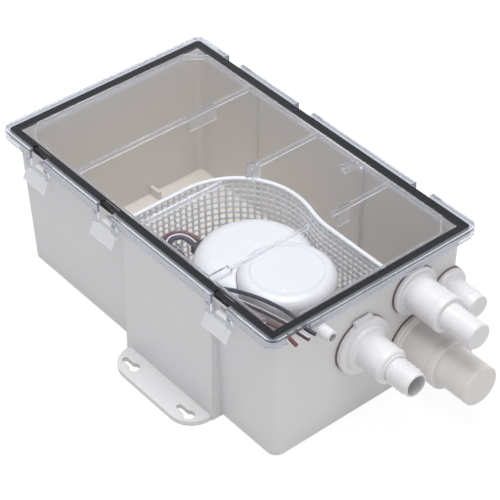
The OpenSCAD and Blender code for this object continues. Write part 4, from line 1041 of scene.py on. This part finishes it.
    def strip(
        self, along: tuple[float, float], height: tuple[float, float], thickness: float, curve: float
    ) -> bpy.types.Object:
        """Makes a solid strip along the plan.

        Args:
            along: Where it starts and ends along the plan.
            height: Its lowest and highest height.
            thickness: Across it.
            curve: Radius of its edges.

        Returns:
            The strip.
        """
        strip = self.sheet(along, height, max(2, round((along[1] - along[0]) / self.step)), 1)
        self.bend(strip)
        apply_modifier(strip, "SOLIDIFY", thickness=thickness * MM, offset=0.0)
        apply_modifier(strip, "BEVEL", width=curve * MM, segments=3, limit_method="ANGLE")
        return strip

    def build(self, finish: bpy.types.Material) -> None:
        """Makes the net with its bead, foot and end strips, each its own piece.

        Args:
            finish: Its material.
        """
        whole = self.length()
        top, bottom = self.high - self.rim, self.low + self.foot
        band = (self.band_thickness, self.band_curve)
        rear, front = (0, self.stile), (whole - self.stile, whole)
        parts = {
            "screen_net": self.net(),
            "screen_rim": self.strip((0, whole), (top, self.high), self.rim_thickness, self.rim_curve),
            "screen_foot": self.strip((0, whole), (self.low, bottom), *band),
            "screen_stile_rear": self.strip(rear, (bottom, top), *band),
            "screen_stile_front": self.strip(front, (bottom, top), *band),
        }
        for name, piece in parts.items():
            deselect()
            bpy.context.view_layer.objects.active = piece
            piece.select_set(True)
            bpy.ops.object.shade_smooth_by_angle(angle=SMOOTH_ANGLE)
            settle(piece, name, finish)
            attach(piece, "sump")
        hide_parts("filter_screen")
        LOG.info("screen_net: %d faces", len(parts["screen_net"].data.polygons))


@dataclass
class PumpLabel:
    """The round label in the motor lobe's recess, left bare. Lengths are in millimetres.

    Attributes:
        centre: Its middle on the plan.
        floor: Height of the recess.
        diameter: Across it.
        thickness: Of the label.
        border: From its edge to the pressed ring.
        groove: Width of the ring.
        groove_depth: Depth of the ring.
        curve: Radius of its edges.
        sides: Faces round it.
    """

    centre: tuple[float, float] = (90.0, -23.0)
    floor: float = 102.6
    diameter: float = 53.8
    thickness: float = 0.36
    border: float = 1.4
    groove: float = 0.3
    groove_depth: float = 0.08
    curve: float = 0.08
    sides: int = 96

    def build(self, finish: bpy.types.Material) -> None:
        """Makes the label with a pressed ring near its edge.

        Args:
            finish: Its material.
        """
        deselect()
        spot = Vector((*self.centre, self.floor + self.thickness / 2)) * MM
        bpy.ops.mesh.primitive_cylinder_add(
            vertices=self.sides, radius=self.diameter / 2 * MM, depth=self.thickness * MM, location=spot
        )
        label = bpy.context.object
        bpy.ops.object.mode_set(mode="EDIT")
        bpy.ops.mesh.select_mode(type="FACE")
        bpy.ops.mesh.select_all(action="DESELECT")
        bpy.ops.object.mode_set(mode="OBJECT")
        for face in label.data.polygons:
            face.select = face.normal.z > UPWARD
        bpy.ops.object.mode_set(mode="EDIT")
        bpy.ops.mesh.inset(thickness=self.border * MM, depth=0)
        bpy.ops.mesh.inset(thickness=self.groove * MM, depth=-self.groove_depth * MM)
        bpy.ops.object.mode_set(mode="OBJECT")
        apply_modifier(label, "BEVEL", width=self.curve * MM, segments=2, limit_method="ANGLE")
        settle(label, "pump_label", finish)
        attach(label, "sump")


SLOT_FINISHES = {
    "tub_abs": WHITE_TUB,
    "gasket_rubber": GASKET_RUBBER,
    "clear_lid": CLEAR_LID,
    "clear_latch": CLEAR_LATCH,
    "screen_plastic": WHITE_SCREEN,
    "white_fitting": WHITE_FITTING,
    "grey_fitting": GREY_FITTING,
    "inner_fitting": WHITE_FITTING,
    "seal_rubber": SEAL_RUBBER,
    "pump_shell": PUMP_SHELL,
    "pump_plastic": PUMP_PLASTIC,
    "black_rubber": BLACK_RUBBER,
    "steel": STAINLESS,
    "can_steel": ZINC_CAN,
    "bronze": SINTERED_BRONZE,
    "copper": BRIGHT_COPPER,
    "laminations": IRON_STACK,
    "magnet": BLACK_FERRITE,
    "float_foam": FLOAT_FOAM,
    "reed_capsule": GLASS_CAPSULE,
    "black_insulation": BLACK_JACKET,
    "brown_insulation": BROWN_JACKET,
    "striped_insulation": STRIPED_JACKET,
}


@dataclass
class PackedNodes:
    """The CAD nodes, each given the finish of its slot.

    Attributes:
        frame: What the frame holds, as it is loaded.
    """

    frame: dict[str, object]

    def build(self) -> dict[str, bpy.types.Material]:
        """Gives each node its material.

        Returns:
            The materials by slot.
        """
        made = {slot: finish.build() for slot, finish in SLOT_FINISHES.items()}
        tie = CLEAR_TIE.build()
        for row in self.frame["record"]["subparts"]:
            node = self.frame["nodes"][row["node"]]
            finish = tie if row["node"] == "cable_tie" else made[row["material_slot"]]
            node.data.materials.clear()
            node.data.materials.append(finish)
        LOG.info("%d nodes given their finishes", len(self.frame["nodes"]))
        return made


def main() -> None:
    """Loads the frame and builds every piece in order."""
    logging.basicConfig(level=logging.INFO, format="%(name)s: %(message)s")
    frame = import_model()
    deselect()
    PhotoCamera().build()
    strands = BARE_STRANDS.build()
    for wire in WIRES:
        wire.build(strands)
    finishes = PackedNodes(frame).build()
    FilterScreen().build(finishes["screen_plastic"])
    PumpLabel().build(LABEL_FACE.build())
    Studio().build()


if __name__ == "__main__":
    main()
